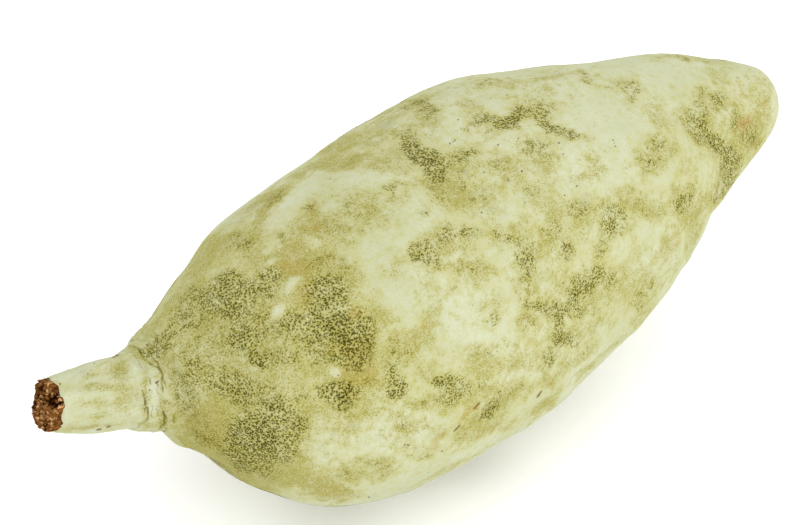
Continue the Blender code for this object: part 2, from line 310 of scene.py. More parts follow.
POD_BLOTS: dict[Wear, tuple[Blot, ...]] = {
    Wear.PITTED: ovals(
        # Stalk-side shoulder, from the neck outward
        (160, 345, 18, 12, -35, 0.6), (182, 300, 32, 10, -54, 0.1), (188, 388, 12, 26, 0, 0.25),
        (190, 312, 26, 16, -55, 0.42), (190, 398, 24, 22, 0, 0.3), (192, 345, 22, 28, 0, 0.15),
        (202, 432, 24, 12, 30, 0.15), (203, 366, 32, 24, 30, 0.22), (214, 424, 20, 12, 20, 0.15),
        (214, 446, 22, 7, 34, 0.4), (226, 298, 24, 24, 0, 0.64), (228, 274, 14, 9, 0, 0.48),
        (232, 386, 24, 12, 10, 0.5), (236, 466, 22, 8, 30, 0.6), (240, 332, 36, 26, -20, 0.32),
        (246, 338, 15, 13, 0, 0.55), (247, 345, 14, 10, 0, 0.3), (250, 438, 24, 20, 0, 0.85),
        (250, 466, 24, 10, 25, 0.5), (256, 364, 12, 9, 0, 0.7), (258, 258, 18, 9, -30, 0.2),
        (262, 288, 20, 15, 0, 0.52), (262, 320, 20, 16, 0, 0.15), (262, 402, 34, 20, 0, 0.4),
        (265, 370, 12, 8, 0, 0.3), (268, 274, 12, 10, 0, 0.5), (276, 424, 22, 20, 20, 0.6),
        (276, 454, 20, 14, 0, 0.65), (278, 358, 16, 9, 0, 0.4), (284, 322, 16, 12, 0, 0.4),
        (288, 372, 18, 10, 0, 0.2), (300, 342, 28, 26, 0, 0.38), (300, 432, 10, 22, 0, 0.45),
        # Dark column up the middle of the shoulder
        (305, 396, 12, 8, 0, 0.35), (320, 352, 12, 10, 0, 0.4), (322, 322, 24, 20, 0, 0.66),
        (328, 268, 24, 16, 0, 0.3), (328, 292, 24, 14, 0, 0.76), (338, 390, 22, 12, 0, 0.8),
        (343, 408, 14, 15, 0, 0.32), (344, 332, 20, 14, 40, 0.76), (345, 405, 8, 8, 0, 0.5),
        (346, 308, 8, 10, 0, 0.5), (350, 356, 18, 12, 0, 0.65), (364, 334, 14, 28, 0, 0.58),
        (364, 370, 12, 16, 0, 0.15), (374, 394, 10, 17, 0, 0.3),
        # Upper left, behind the shoulder
        (240, 243, 15, 11, 0, 0.5), (272, 200, 14, 5, -22, 0.35), (284, 238, 12, 7, -20, 0.4),
        (312, 208, 9, 8, 0, 0.45), (322, 228, 16, 10, 0, 0.2), (346, 224, 22, 12, 0, 0.2),
        (350, 204, 24, 12, 5, 0.25), (386, 198, 18, 10, -20, 0.15), (395, 187, 12, 6, -20, 0.4),
        # Dark diagonal on the back
        (350, 158, 16, 14, -20, 0.15), (372, 140, 18, 9, -30, 0.2), (406, 144, 12, 17, 0, 0.45),
        (414, 103, 20, 5, -20, 0.5), (418, 152, 18, 11, 25, 0.72), (425, 208, 8, 7, 0, 0.4),
        (431, 111, 11, 9, 0, 0.5), (434, 166, 18, 14, 45, 0.62), (438, 188, 20, 13, 50, 0.35),
        (446, 158, 6, 8, 0, 0.4), (463, 160, 15, 9, -10, 0.35), (466, 155, 13, 6, -20, 0.35),
        (466, 180, 13, 9, 0, 0.4), (488, 84, 14, 5, -15, 0.45),
        # Arched band behind the middle
        (470, 128, 11, 5, -25, 0.4), (482, 198, 11, 5, 0, 0.35), (492, 121, 22, 8, 5, 0.55),
        (500, 132, 20, 6, -5, 0.35), (503, 163, 11, 10, 30, 0.45), (514, 120, 16, 10, -20, 0.62),
        (530, 107, 20, 11, 0, 0.34), (533, 190, 15, 8, 0, 0.35), (538, 151, 17, 12, 0, 0.35),
        (540, 146, 10, 8, 0, 0.3), (547, 124, 10, 14, -35, 0.5), (550, 108, 12, 8, 20, 0.3),
        (568, 134, 22, 6, 18, 0.55), (579, 211, 14, 11, 0, 0.42), (587, 78, 12, 4, 35, 0.45),
        (617, 84, 16, 5, -5, 0.3), (632, 93, 11, 9, 30, 0.5),
        # Middle
        (420, 254, 18, 10, -15, 0.22), (422, 260, 14, 6, -15, 0.4), (431, 242, 24, 10, -30, 0.4),
        (434, 263, 18, 7, 0, 0.3), (452, 228, 14, 11, 0, 0.4), (464, 285, 16, 7, 0, 0.25),
        (470, 237, 12, 9, 0, 0.45), (470, 268, 18, 7, 0, 0.35), (492, 318, 8, 11, 30, 0.5),
        (504, 237, 12, 6, 15, 0.65), (526, 250, 13, 14, 0, 0.52), (527, 288, 11, 12, 0, 0.35),
        (529, 325, 8, 12, 0, 0.35), (530, 268, 9, 12, 0, 0.48), (534, 306, 12, 6, 0, 0.42),
        (545, 371, 7, 13, 10, 0.35), (551, 353, 9, 12, 20, 0.45), (553, 232, 12, 11, 0, 0.4),
        (553, 311, 16, 9, 0, 0.55), (558, 330, 8, 16, 0, 0.5), (568, 250, 8, 12, 0, 0.6),
        (568, 340, 16, 8, 0, 0.6),
        # Toward the nose
        (570, 303, 14, 13, -20, 0.5), (582, 287, 18, 13, 0, 0.6), (588, 311, 13, 9, 0, 0.4),
        (592, 270, 14, 9, 0, 0.45), (603, 248, 10, 7, -60, 0.45), (606, 276, 16, 12, 0, 0.5),
        (609, 237, 10, 9, 0, 0.2), (612, 220, 15, 15, 0, 0.55), (622, 205, 14, 8, -45, 0.15),
        (628, 190, 9, 11, 0, 0.2), (632, 203, 6, 7, 0, 0.2), (635, 304, 7, 12, 10, 0.4),
        (644, 171, 10, 8, -40, 0.3), (647, 287, 9, 10, 0, 0.35), (648, 208, 15, 8, 0, 0.25),
        (652, 156, 12, 14, 20, 0.4), (656, 138, 9, 8, 0, 0.45), (674, 155, 9, 5, -20, 0.2),
        (676, 57, 14, 4, 5, 0.45), (684, 207, 12, 9, 0, 0.47), (687, 190, 9, 14, 0, 0.2),
        # Groove of the nose
        (692, 124, 12, 8, 30, 0.15), (696, 112, 11, 16, 20, 0.5), (707, 134, 16, 11, 45, 0.58),
        (712, 95, 18, 7, 10, 0.1), (717, 102, 7, 10, 0, 0.45), (720, 147, 16, 11, 30, 0.72),
        (722, 188, 7, 16, 35, 0.6), (730, 165, 10, 16, 5, 0.6), (736, 120, 7, 12, 0, 0.5),
        (750, 128, 8, 10, 0, 0.3), (750, 140, 10, 10, 0, 0.4),
        # Lower flank
        (342, 476, 14, 5, 0, 0.35), (375, 467, 22, 7, 5, 0.3), (392, 368, 13, 12, 0, 0.45),
        (393, 345, 7, 14, 30, 0.4), (394, 389, 12, 12, 0, 0.8), (404, 425, 8, 5, 25, 0.35),
        (406, 354, 9, 5, 0, 0.45), (418, 455, 14, 4, 5, 0.35), (419, 404, 12, 6, 0, 0.2),
        (437, 378, 14, 8, 10, 0.6), (444, 403, 15, 6, 0, 0.45), (452, 388, 20, 11, 20, 0.6),
        (463, 438, 12, 6, -45, 0.15), (475, 358, 10, 8, 40, 0.3), (484, 382, 6, 10, 20, 0.45),
        (486, 362, 8, 8, 0, 0.1), (489, 412, 16, 8, -28, 0.62), (504, 396, 22, 6, -20, 0.35),
    ),
    Wear.WORN: ovals(
        # Stalk-side shoulder, from the neck outward
        (150, 325, 20, 8, -50, 0.4), (172, 304, 16, 6, -52, 0.3), (176, 410, 8, 10, 0, 0.4),
        (180, 292, 48, 13, -54, 0.42), (190, 438, 48, 16, 33, 0.32), (205, 455, 16, 5, 30, 0.4),
        (208, 320, 14, 10, 0, 0.4), (208, 448, 30, 10, 36, 0.85), (212, 424, 24, 16, 20, 0.7),
        (222, 452, 26, 10, 33, 0.5), (230, 456, 32, 12, 35, 0.4), (236, 352, 78, 74, -20, 0.64),
        (240, 405, 18, 8, 0, 0.4), (248, 303, 10, 8, 0, 0.4), (250, 450, 46, 20, 20, 0.5),
        (270, 335, 16, 34, 0, 0.4), (276, 358, 20, 12, 0, 0.5), (284, 428, 8, 10, 0, 0.5),
        (288, 374, 24, 14, 0, 0.25), (290, 286, 20, 12, 0, 0.5),
        # Middle of the shoulder
        (300, 432, 14, 26, 0, 0.45), (302, 392, 10, 10, 0, 0.4), (306, 440, 10, 38, 0, 0.35),
        (322, 440, 30, 34, 0, 0.6), (328, 418, 36, 28, 0, 0.3), (330, 290, 34, 34, 0, 0.5),
        (330, 362, 14, 18, 0, 0.4), (344, 388, 6, 16, 0, 0.8), (345, 350, 36, 34, 0, 0.85),
        (345, 395, 22, 26, 0, 0.3), (345, 404, 8, 12, 0, 0.5), (348, 278, 12, 14, 0, 0.4),
        (368, 392, 16, 24, 0, 0.45), (376, 310, 10, 22, 0, 0.3), (378, 320, 12, 16, 0, 0.5),
        # Upper left, behind the shoulder
        (205, 252, 12, 26, 38, 0.55), (216, 258, 36, 12, -54, 0.25), (238, 242, 24, 15, -20, 0.6),
        (262, 205, 28, 8, -30, 0.75), (262, 224, 7, 16, 30, 0.55), (262, 256, 26, 13, -30, 0.42),
        (264, 208, 22, 10, -30, 0.4), (290, 235, 22, 18, -30, 0.35), (292, 180, 30, 6, -28, 0.35),
        (300, 262, 34, 20, 0, 0.6), (318, 230, 26, 16, 0, 0.4), (330, 165, 40, 8, -14, 0.65),
        (334, 147, 16, 8, -30, 0.6), (340, 246, 16, 9, 0, 0.3), (345, 215, 44, 26, 0, 0.4),
        (352, 150, 28, 14, -25, 0.3), (366, 160, 26, 10, -20, 0.25), (374, 168, 12, 8, -20, 0.5),
        (380, 135, 30, 11, -15, 0.42),
        # Back
        (385, 212, 26, 18, -10, 0.3), (396, 110, 38, 8, -27, 0.5), (398, 160, 22, 14, -10, 0.5),
        (400, 196, 16, 8, -10, 0.3), (408, 180, 14, 10, 0, 0.4), (428, 120, 22, 14, 60, 0.5),
        (432, 184, 14, 8, 20, 0.4), (448, 185, 24, 18, 40, 0.66), (462, 196, 14, 8, 20, 0.6),
        (466, 164, 18, 14, 0, 0.6), (470, 100, 40, 12, -16, 0.15), (470, 106, 16, 9, 20, 0.35),
        (475, 82, 46, 7, -12, 0.15), (482, 206, 20, 16, 0, 0.4), (485, 192, 18, 12, 0, 0.4),
        (490, 160, 14, 32, 0, 0.15), (505, 124, 42, 14, -5, 0.32), (505, 168, 18, 14, 40, 0.5),
        (520, 80, 44, 7, -5, 0.28), (530, 190, 24, 12, 0, 0.4), (532, 172, 22, 14, 0, 0.2),
        (534, 106, 26, 18, 0, 0.3), (535, 152, 24, 18, 0, 0.32), (545, 92, 44, 12, 5, 0.2),
        (560, 210, 34, 16, 5, 0.4), (570, 74, 30, 8, 5, 0.28), (570, 172, 34, 14, 5, 0.2),
        (575, 175, 12, 5, -10, 0.3), (580, 180, 18, 10, 0, 0.22), (594, 146, 16, 12, 0, 0.2),
        (594, 168, 16, 6, 60, 0.2),
        # Middle
        (390, 268, 14, 12, 0, 0.3), (394, 322, 8, 20, 0, 0.3), (424, 288, 10, 16, 20, 0.35),
        (429, 330, 9, 18, 0, 0.45), (432, 308, 8, 12, 20, 0.35), (435, 252, 42, 22, -20, 0.35),
        (438, 226, 18, 6, -20, 0.4), (444, 220, 22, 8, -10, 0.05), (444, 288, 12, 8, 0, 0.15),
        (450, 246, 22, 8, 0, 0.4), (465, 325, 48, 50, 0, 0.14), (472, 268, 22, 14, 0, 0.55),
        (474, 300, 12, 12, 0, 0.2), (495, 245, 12, 8, 0, 0.3), (495, 297, 10, 18, 0, 0.35),
        (505, 232, 22, 12, 10, 0.4), (512, 340, 16, 12, 0, 0.2), (520, 218, 10, 8, 0, 0.35),
        (525, 262, 22, 32, 0, 0.4), (530, 322, 8, 14, 30, 0.35), (536, 292, 6, 8, 0, 0.4),
        (548, 318, 24, 22, 0, 0.3), (552, 272, 16, 28, 0, 0.35), (556, 238, 20, 24, -10, 0.35),
        (562, 300, 5, 7, 0, 0.4), (580, 295, 30, 28, -20, 0.4), (583, 232, 9, 16, 0, 0.4),
        (590, 330, 28, 10, -20, 0.4), (598, 260, 12, 16, 10, 0.4),
        # Toward the nose
        (600, 160, 12, 12, 0, 0.35), (606, 285, 24, 22, 0, 0.3), (608, 352, 24, 5, -42, 0.4),
        (612, 225, 26, 26, -20, 0.35), (614, 200, 9, 14, 0, 0.4), (625, 189, 7, 9, 0, 0.4),
        (628, 196, 14, 20, 10, 0.15), (632, 92, 18, 12, 20, 0.25), (636, 305, 12, 18, 10, 0.25),
        (640, 108, 20, 10, 20, 0.05), (640, 318, 16, 7, -45, 0.4), (645, 268, 36, 22, -30, 0.35),
        (646, 288, 14, 20, 15, 0.25), (650, 208, 22, 14, 10, 0.55), (652, 112, 10, 16, 0, 0.3),
        (655, 155, 20, 26, 20, 0.5), (662, 122, 16, 8, 10, 0.2), (667, 236, 9, 14, 0, 0.4),
        (672, 255, 12, 16, 0, 0.15), (676, 224, 10, 12, 0, 0.35), (685, 162, 8, 14, 0, 0.15),
        (690, 58, 40, 4, 3, 0.45), (690, 168, 14, 10, 0, 0.3), (690, 202, 18, 22, 0, 0.6),
        (694, 235, 10, 26, 15, 0.5), (702, 168, 12, 26, -35, 0.3), (707, 156, 6, 10, 0, 0.3),
        (710, 118, 34, 34, 20, 0.42), (712, 200, 12, 10, 0, 0.35), (719, 112, 8, 14, 0, 0.3),
        (722, 74, 14, 10, 10, 0.4), (732, 165, 14, 30, 35, 0.5), (745, 132, 14, 20, 20, 0.55),
        (752, 92, 16, 26, 0, 0.25), (752, 130, 8, 12, 20, 0.25), (762, 105, 12, 26, 5, 0.45),
        (762, 132, 10, 16, 0, 0.2),
        # Lower flank and lower edge
        (236, 466, 26, 10, 30, 0.7), (240, 465, 40, 14, 30, 0.8), (240, 478, 44, 8, 28, 0.7),
        (288, 468, 30, 12, 8, 0.5), (292, 478, 34, 9, 12, 0.7), (330, 489, 26, 9, 5, 0.65),
        (332, 500, 14, 5, 0, 0.4), (338, 476, 18, 6, 0, 0.45), (350, 476, 14, 6, 0, 0.4),
        (365, 467, 34, 9, 0, 0.5), (372, 480, 20, 6, 0, 0.3), (385, 428, 60, 26, 0, 0.3),
        (394, 378, 18, 28, 0, 0.1), (400, 350, 34, 24, 0, 0.22), (405, 348, 22, 14, -30, 0.45),
        (405, 426, 14, 7, 20, 0.35), (420, 404, 40, 8, 0, 0.3), (420, 452, 20, 7, 5, 0.35),
        (425, 375, 12, 10, 0, 0.4), (428, 408, 24, 6, 0, 0.4), (436, 424, 22, 12, -20, 0.15),
        (440, 432, 10, 6, 0, 0.3), (440, 475, 40, 5, -25, 0.35), (450, 386, 34, 18, 15, 0.5),
        (462, 440, 16, 9, -40, 0.3), (470, 362, 16, 12, 0, 0.1), (478, 358, 22, 14, 20, 0.45),
        (480, 368, 14, 8, 0, 0.35), (485, 382, 12, 14, 0, 0.45), (485, 424, 30, 10, -28, 0.6),
        (492, 362, 10, 8, 0, 0.1), (495, 450, 40, 4, -28, 0.35), (500, 402, 40, 12, -22, 0.5),
        (505, 406, 16, 5, -30, 0.3), (510, 404, 18, 6, -20, 0.4), (510, 428, 12, 5, -40, 0.6),
        (512, 362, 16, 9, -20, 0.45), (512, 376, 18, 10, -40, 0.35), (530, 360, 12, 22, -30, 0.4),
        (542, 412, 18, 5, -38, 0.4), (545, 402, 22, 5, -38, 0.6), (548, 385, 10, 8, 0, 0.5),
        (560, 345, 26, 22, -20, 0.3), (575, 360, 34, 6, -38, 0.45), (585, 372, 16, 4, -38, 0.45),
    ),
    Wear.RUST: ovals(
        (348, 378, 10, 14, 0, 0.45), (313, 226, 9, 7, 0, 0.8), (313, 209, 8, 9, 0, 0.6),
        (292, 268, 16, 11, 0, 0.9), (368, 372, 10, 18, 0, 0.5), (335, 344, 14, 10, 0, 0.4),
        (212, 424, 24, 14, 30, 0.5), (325, 262, 14, 10, 0, 0.35), (304, 300, 12, 16, 0, 0.4),
        (232, 462, 18, 7, 30, 0.35), (378, 318, 9, 12, 0, 0.3), (429, 328, 7, 12, 0, 0.3),
        (291, 247, 12, 10, 0, 0.5), (308, 292, 8, 14, 0, 0.35), (305, 270, 12, 9, 0, 0.5),
        (355, 314, 10, 7, 0, 0.8), (356, 348, 16, 10, 0, 0.75), (357, 368, 14, 16, 0, 0.75),
        (338, 350, 18, 7, 0, 0.45), (350, 398, 10, 10, 0, 0.4), (268, 200, 13, 4, -20, 0.5),
        (245, 240, 8, 8, 0, 0.3), (472, 267, 14, 6, 0, 0.4), (418, 337, 16, 4, -45, 0.6),
        (394, 342, 4, 12, 25, 0.4), (405, 353, 8, 4, 0, 0.3), (507, 176, 12, 3, -50, 0.5),
        (652, 152, 8, 6, 0, 0.5), (213, 443, 16, 7, 30, 0.95), (178, 415, 20, 8, 40, 0.25),
        (548, 385, 6, 6, 0, 0.55), (470, 412, 15, 3, -50, 0.75), (441, 435, 13, 4, -35, 0.6),
        (434, 446, 6, 3.5, -30, 0.55), (496, 366, 5, 4, -30, 0.45), (484, 388, 5, 4, -30, 0.4),
        (500, 406, 24, 3, -30, 0.3), (332, 490, 18, 5, 0, 0.45), (488, 428, 14, 4, -20, 0.45),
        (530, 320, 6, 5, 0, 0.5), (578, 210, 10, 8, 0, 0.25), (556, 208, 10, 6, 0, 0.25),
        (765, 108, 6, 5, 0, 0.35), (761, 82, 5, 5, 0, 0.3), (748, 138, 8, 8, 0, 0.35),
        (344, 148, 10, 6, 0, 0.3),
    ),
    Wear.SCUFF: ovals(
        (236, 217, 30, 8, -33, 0.5), (190, 275, 34, 9, -58, 0.3), (152, 330, 22, 6, -48, 0.3),
        (386, 123, 12, 4, -20, 0.7), (450, 92, 40, 6, -18, 0.35), (470, 177, 6, 3, -20, 0.6),
        (484, 192, 14, 5, -15, 0.5), (338, 437, 6, 5, 0, 0.6), (356, 427, 6, 3, -35, 0.6),
        (375, 244, 14, 6, -10, 0.35), (345, 262, 10, 8, 0, 0.35), (495, 208, 16, 10, 0, 0.35),
        (590, 204, 8, 8, 0, 0.5), (558, 144, 8, 3, -10, 0.4), (545, 280, 10, 14, 0, 0.4),
        (443, 452, 6, 3, 40, 0.4),
    ),
    Wear.BLUSH: ovals(
        (738, 93, 8, 9, 0, 0.45), (746, 122, 6, 6, -30, 0.8), (740, 127, 7, 3, 0, 0.5),
        (675, 243, 4, 4, 40, 0.6), (660, 184, 3, 2, 0, 0.5), (698, 165, 10, 14, 0, 0.15),
        (763, 78, 5, 4, 0, 0.3),
    ),
    Wear.FELTED: ovals(
        (294, 286, 10, 5, -55, 0.7), (277, 313, 10, 5, -55, 0.7), (294, 372, 16, 9, 0, 0.2),
        (338, 367, 8, 5, 20, 0.75), (270, 261, 7, 4, -45, 0.7), (312, 243, 12, 6, 20, 0.5),
        (332, 208, 8, 8, 0, 0.4), (551, 272, 11, 22, 8, 0.3), (530, 126, 9, 8, 0, 0.85),
        (722, 116, 12, 8, 10, 0.3), (302, 190, 26, 7, -38, 0.8), (355, 178, 40, 6, 0, 0.7),
        (330, 445, 26, 30, 0, 0.55), (278, 218, 12, 10, -40, 0.6), (466, 258, 16, 5, 0, 0.5),
        (478, 248, 8, 4, 0, 0.2), (250, 215, 12, 6, -30, 0.4), (700, 165, 10, 28, -35, 0.5),
        (570, 320, 6, 6, 0, 0.5), (366, 150, 12, 5, 0, 0.6), (270, 245, 6, 10, 40, 0.5),
        (560, 300, 4, 4, 0, 0.4), (525, 400, 30, 4, -25, 0.15), (560, 385, 44, 4, -38, 0.3),
    ),
}

POD_CRACKS = (
    Line(((480, 403), (474, 409))),
    Line(((460, 425), (454, 431))),
    Line(((541, 391), (536, 397))),
)
POD_NICKS = (
    (458, 120), (455, 140), (450, 143), (518, 139), (498, 145), (577, 186), (565, 195), (563, 154),
    (484, 172), (482, 212), (613, 140), (615, 146), (559, 143), (522, 171), (493, 356), (488, 353),
    (403, 425), (409, 445), (405, 445), (442, 451), (369, 497),
)
POD_RIDGES = (
    Line(((286, 214), (298, 196), (312, 184), (340, 177), (375, 174), (402, 178))),
    Line(((326, 444), (331, 452), (340, 457), (346, 457))),
    Line(((592, 352), (560, 384), (528, 408))),
    Line(((620, 345), (580, 386), (545, 412))),
)

# Soft rises and dips of the skin; the strength is their height in millimetres.
POD_SWELLS = (
    Blot(545, 62, 50, 14, -5, -0.9),
    Blot(655, 50, 36, 12, 0, 0.5),
    Blot(728, 58, 24, 10, 10, -0.6),
    Blot(768, 78, 14, 14, 50, 0.7),
    Blot(780, 112, 8, 16, 0, -0.5),
    Blot(703, 232, 22, 12, -60, -1.0),
    Blot(648, 312, 40, 14, -50, 1.0),
    Blot(605, 365, 40, 12, -42, -0.8),
    Blot(475, 462, 50, 14, -28, -1.1),
    Blot(245, 488, 50, 14, 28, -0.8),
    Blot(200, 462, 30, 12, 30, -0.6),
    Blot(285, 176, 40, 12, -35, -0.4),
    Blot(335, 138, 36, 12, -32, 0.4),
    Blot(210, 232, 30, 12, -50, 0.5),
)


@dataclass(frozen=True)
class WearPainter:
    """Turns the listed marks into one value for each vertex of a skin."""

    camera: PhotoCamera
    blots: dict[Wear, tuple[Blot, ...]]
    cracks: tuple[Line, ...] = ()
    nicks: tuple[tuple[float, float], ...] = ()
    far_worn: float = 0.75
    far_neck: float = 0.5
    far_spacing: float = 26.0
    far_stain: float = 0.8
    seen_from: float = 0.02
    seen_full: float = 0.16
    warp_pixels: float = 5.0
    warp_spacing: float = 7.0
    stain_reach: float = 1.3
    stain_share: float = 0.7
    stain_kept: float = 0.4
    pit_wear: float = 0.8
    noise: SolidNoise = SolidNoise(11)

    def paint(self, points: Array, normals: Array) -> dict[str, Array]:
        """Work out every mark at every vertex.

        On the side that the photograph shows, the listed patches rule, with their edges moved
        about by noise. Past its edge they hand over to noise patches of the same sizes.

        Args:
            points: the skin's points in the fruit's frame, in millimetres.
            normals: the skin's outward directions.

        Returns:
            The attribute values by name.
        """
        facing = self.camera.facing(points, normals)
        seen = smoothstep(self.seen_from, self.seen_full, facing)
        pixels = self.camera.pixels(points)
        shove = [self.noise.layers(points + drift, self.warp_spacing, 3) for drift in (0.0, 91.0)]
        moved = pixels + self.warp_pixels * np.stack(shove, axis=1)
        marks = {wear.value: layered_cover(self.blots.get(wear, ()), moved) * seen for wear in Wear}
        patches = self.blots.get(Wear.WORN, ()) + self.blots.get(Wear.PITTED, ())
        marks["stain"] = self.stain_share * layered_cover(patches, moved, self.stain_reach) * seen
        far = self.far_side(points)
        for wear, amount in far.items():
            marks[wear.value] += amount * (1.0 - seen)
        marks["stain"] += self.far_stain * self.stain_share * far[Wear.WORN] * (1.0 - seen)
        kept = 1.0 - marks[Wear.FELTED.value]
        marks["stain"] *= self.stain_kept + (1.0 - self.stain_kept) * kept
        for wear in (Wear.WORN, Wear.PITTED, Wear.RUST):
            marks[wear.value] *= kept
        marks["worn"] = np.maximum(marks["worn"], self.pit_wear * marks["pitted"])
        del marks[Wear.FELTED.value]
        hidden = seen < 0.5
        side, past = self.crack_steps(pixels)
        marks["crack_side"], marks["crack_past"] = side, past + FAR_OFF * hidden
        marks["nick_x"], marks["nick_y"] = np.where(hidden, FAR_OFF, self.nick_steps(pixels).T)
        return marks

    def crack_steps(self, pixels: Array) -> tuple[Array, Array]:
        """Return the signed distance to the nearest crack's line, and the way past its ends.

        Both are in millimetres. The sign lets the value pass through zero between two vertices.
        """
        side, past = np.full(len(pixels), FAR_OFF), np.full(len(pixels), FAR_OFF)
        for line in self.cracks:
            for start, end in zip(line.points[:-1], line.points[1:]):
                span = np.subtract(end, start)
                length = float(np.linalg.norm(span))
                step = pixels - start
                forward = step @ span / length
                across = (step[:, 1] * span[0] - step[:, 0] * span[1]) / length
                beyond = np.maximum(np.abs(forward - length / 2.0) - length / 2.0, 0.0)
                nearer = np.hypot(across, beyond) < np.hypot(side, past) * self.camera.pixels_per_mm
                side = np.where(nearer, across / self.camera.pixels_per_mm, side)
                past = np.where(nearer, beyond / self.camera.pixels_per_mm, past)
        return side, past

    def nick_steps(self, pixels: Array) -> Array:
        """Return the signed steps across and down to the nearest nick, in millimetres."""
        spots = np.asarray(self.nicks, dtype=float)
        apart = pixels[:, None, :] - spots[None, :, :]
        nearest = np.einsum("ijk,ijk->ij", apart, apart).argmin(axis=1)
        step = apart[np.arange(len(pixels)), nearest] / self.camera.pixels_per_mm
        return np.clip(step, -FAR_OFF, FAR_OFF)

    def far_side(self, points: Array) -> dict[Wear, Array]:
        """Return noise patches like the photographed ones, for the side that isn't seen."""
        broad = self.noise.layers(points, self.far_spacing, 3)
        small = self.noise.layers(points + 41.0, self.far_spacing / 2.0, 3)
        neckward = self.far_neck * smoothstep(70.0, 15.0, points[:, 0])
        worn = smoothstep(0.0, 0.55, broad + 0.35 * small + neckward) * self.far_worn
        pitted = smoothstep(0.15, 0.8, broad + 0.5 * small + 1.2 * neckward) * self.far_worn
        rust = smoothstep(0.55, 1.0, small + 0.3 * broad) * 0.6
        return {Wear.WORN: worn, Wear.PITTED: pitted, Wear.RUST: rust}


@dataclass(frozen=True)
class SkinGrid:
    """A closed skin of rings round a middle line, with a single point at each end."""

    rings: int
    segments: int
    last_share: float = 1.0

    def parameters(self) -> tuple[Array, Array]:
        """Return the share along and the angle round of every ring vertex, ring by ring."""
        share, angle = np.meshgrid(
            np.linspace(0.0, self.last_share, self.rings),
            np.linspace(0.0, 2.0 * np.pi, self.segments, endpoint=False),
            indexing="ij",
        )
        return share.ravel(), angle.ravel()

    def faces(self, ends: tuple[bool, bool]) -> list[tuple[int, ...]]:
        """Return the faces between the rings, and a fan to each end point that is asked for.

        Args:
            ends: whether the first and the last ring are closed to a point. The points follow the
                rings' vertices, in that order.

        Returns:
            The faces, each with its vertices in turn and its front outward.
        """
        ring, spot = np.meshgrid(np.arange(self.rings - 1), np.arange(self.segments), indexing="ij")
        after = (spot + 1) % self.segments
        low, high = ring * self.segments, (ring + 1) * self.segments
        quads = np.stack([low + spot, low + after, high + after, high + spot], axis=-1)
        faces = [tuple(face) for face in quads.reshape(-1, 4).tolist()]
        spots = np.arange(self.segments)
        nexts = (spots + 1) % self.segments
        last = (self.rings - 1) * self.segments
        point = self.rings * self.segments
        for asked, second, third in zip(ends, (nexts, last + spots), (spots, last + nexts)):
            if asked:
                fan = np.stack([np.full_like(spots, point), second, third], axis=1)
                faces += [tuple(face) for face in fan.tolist()]
                point += 1
        return faces

    def normals(self, points: Array) -> Array:
        """Return outward directions for the ring vertices, from the steps along and round."""
        grid = points[: self.rings * self.segments].reshape(self.rings, self.segments, 3)
        along = np.gradient(grid, axis=0)
        around = np.roll(grid, -1, axis=1) - np.roll(grid, 1, axis=1)
        normal = np.cross(around, along)
        normal /= np.linalg.norm(normal, axis=2)[:, :, None] + 1e-9
        return normal.reshape(-1, 3)


def make_piece(
    name: str, points: Array, faces: list[tuple[int, ...]], marks: dict[str, Array]
) -> bpy.types.Object:
    """Make a smooth mesh object with its place in its mesh.

    Args:
        name: the piece's name.
        points: the vertices in the scene's frame, in millimetres.
        faces: the faces.
        marks: values for each vertex, by attribute name.

    Returns:
        The linked object.
    """
    mesh = bpy.data.meshes.new(name)
    mesh.from_pydata((points * MM).tolist(), [], faces)
    mesh.shade_smooth()
    for key, values in marks.items():
        layer = mesh.attributes.new(key, "FLOAT", "POINT")
        layer.data.foreach_set("value", values.astype(np.float32))
    mesh.update()
    piece = bpy.data.objects.new(name, mesh)
    bpy.context.scene.collection.objects.link(piece)
    return piece


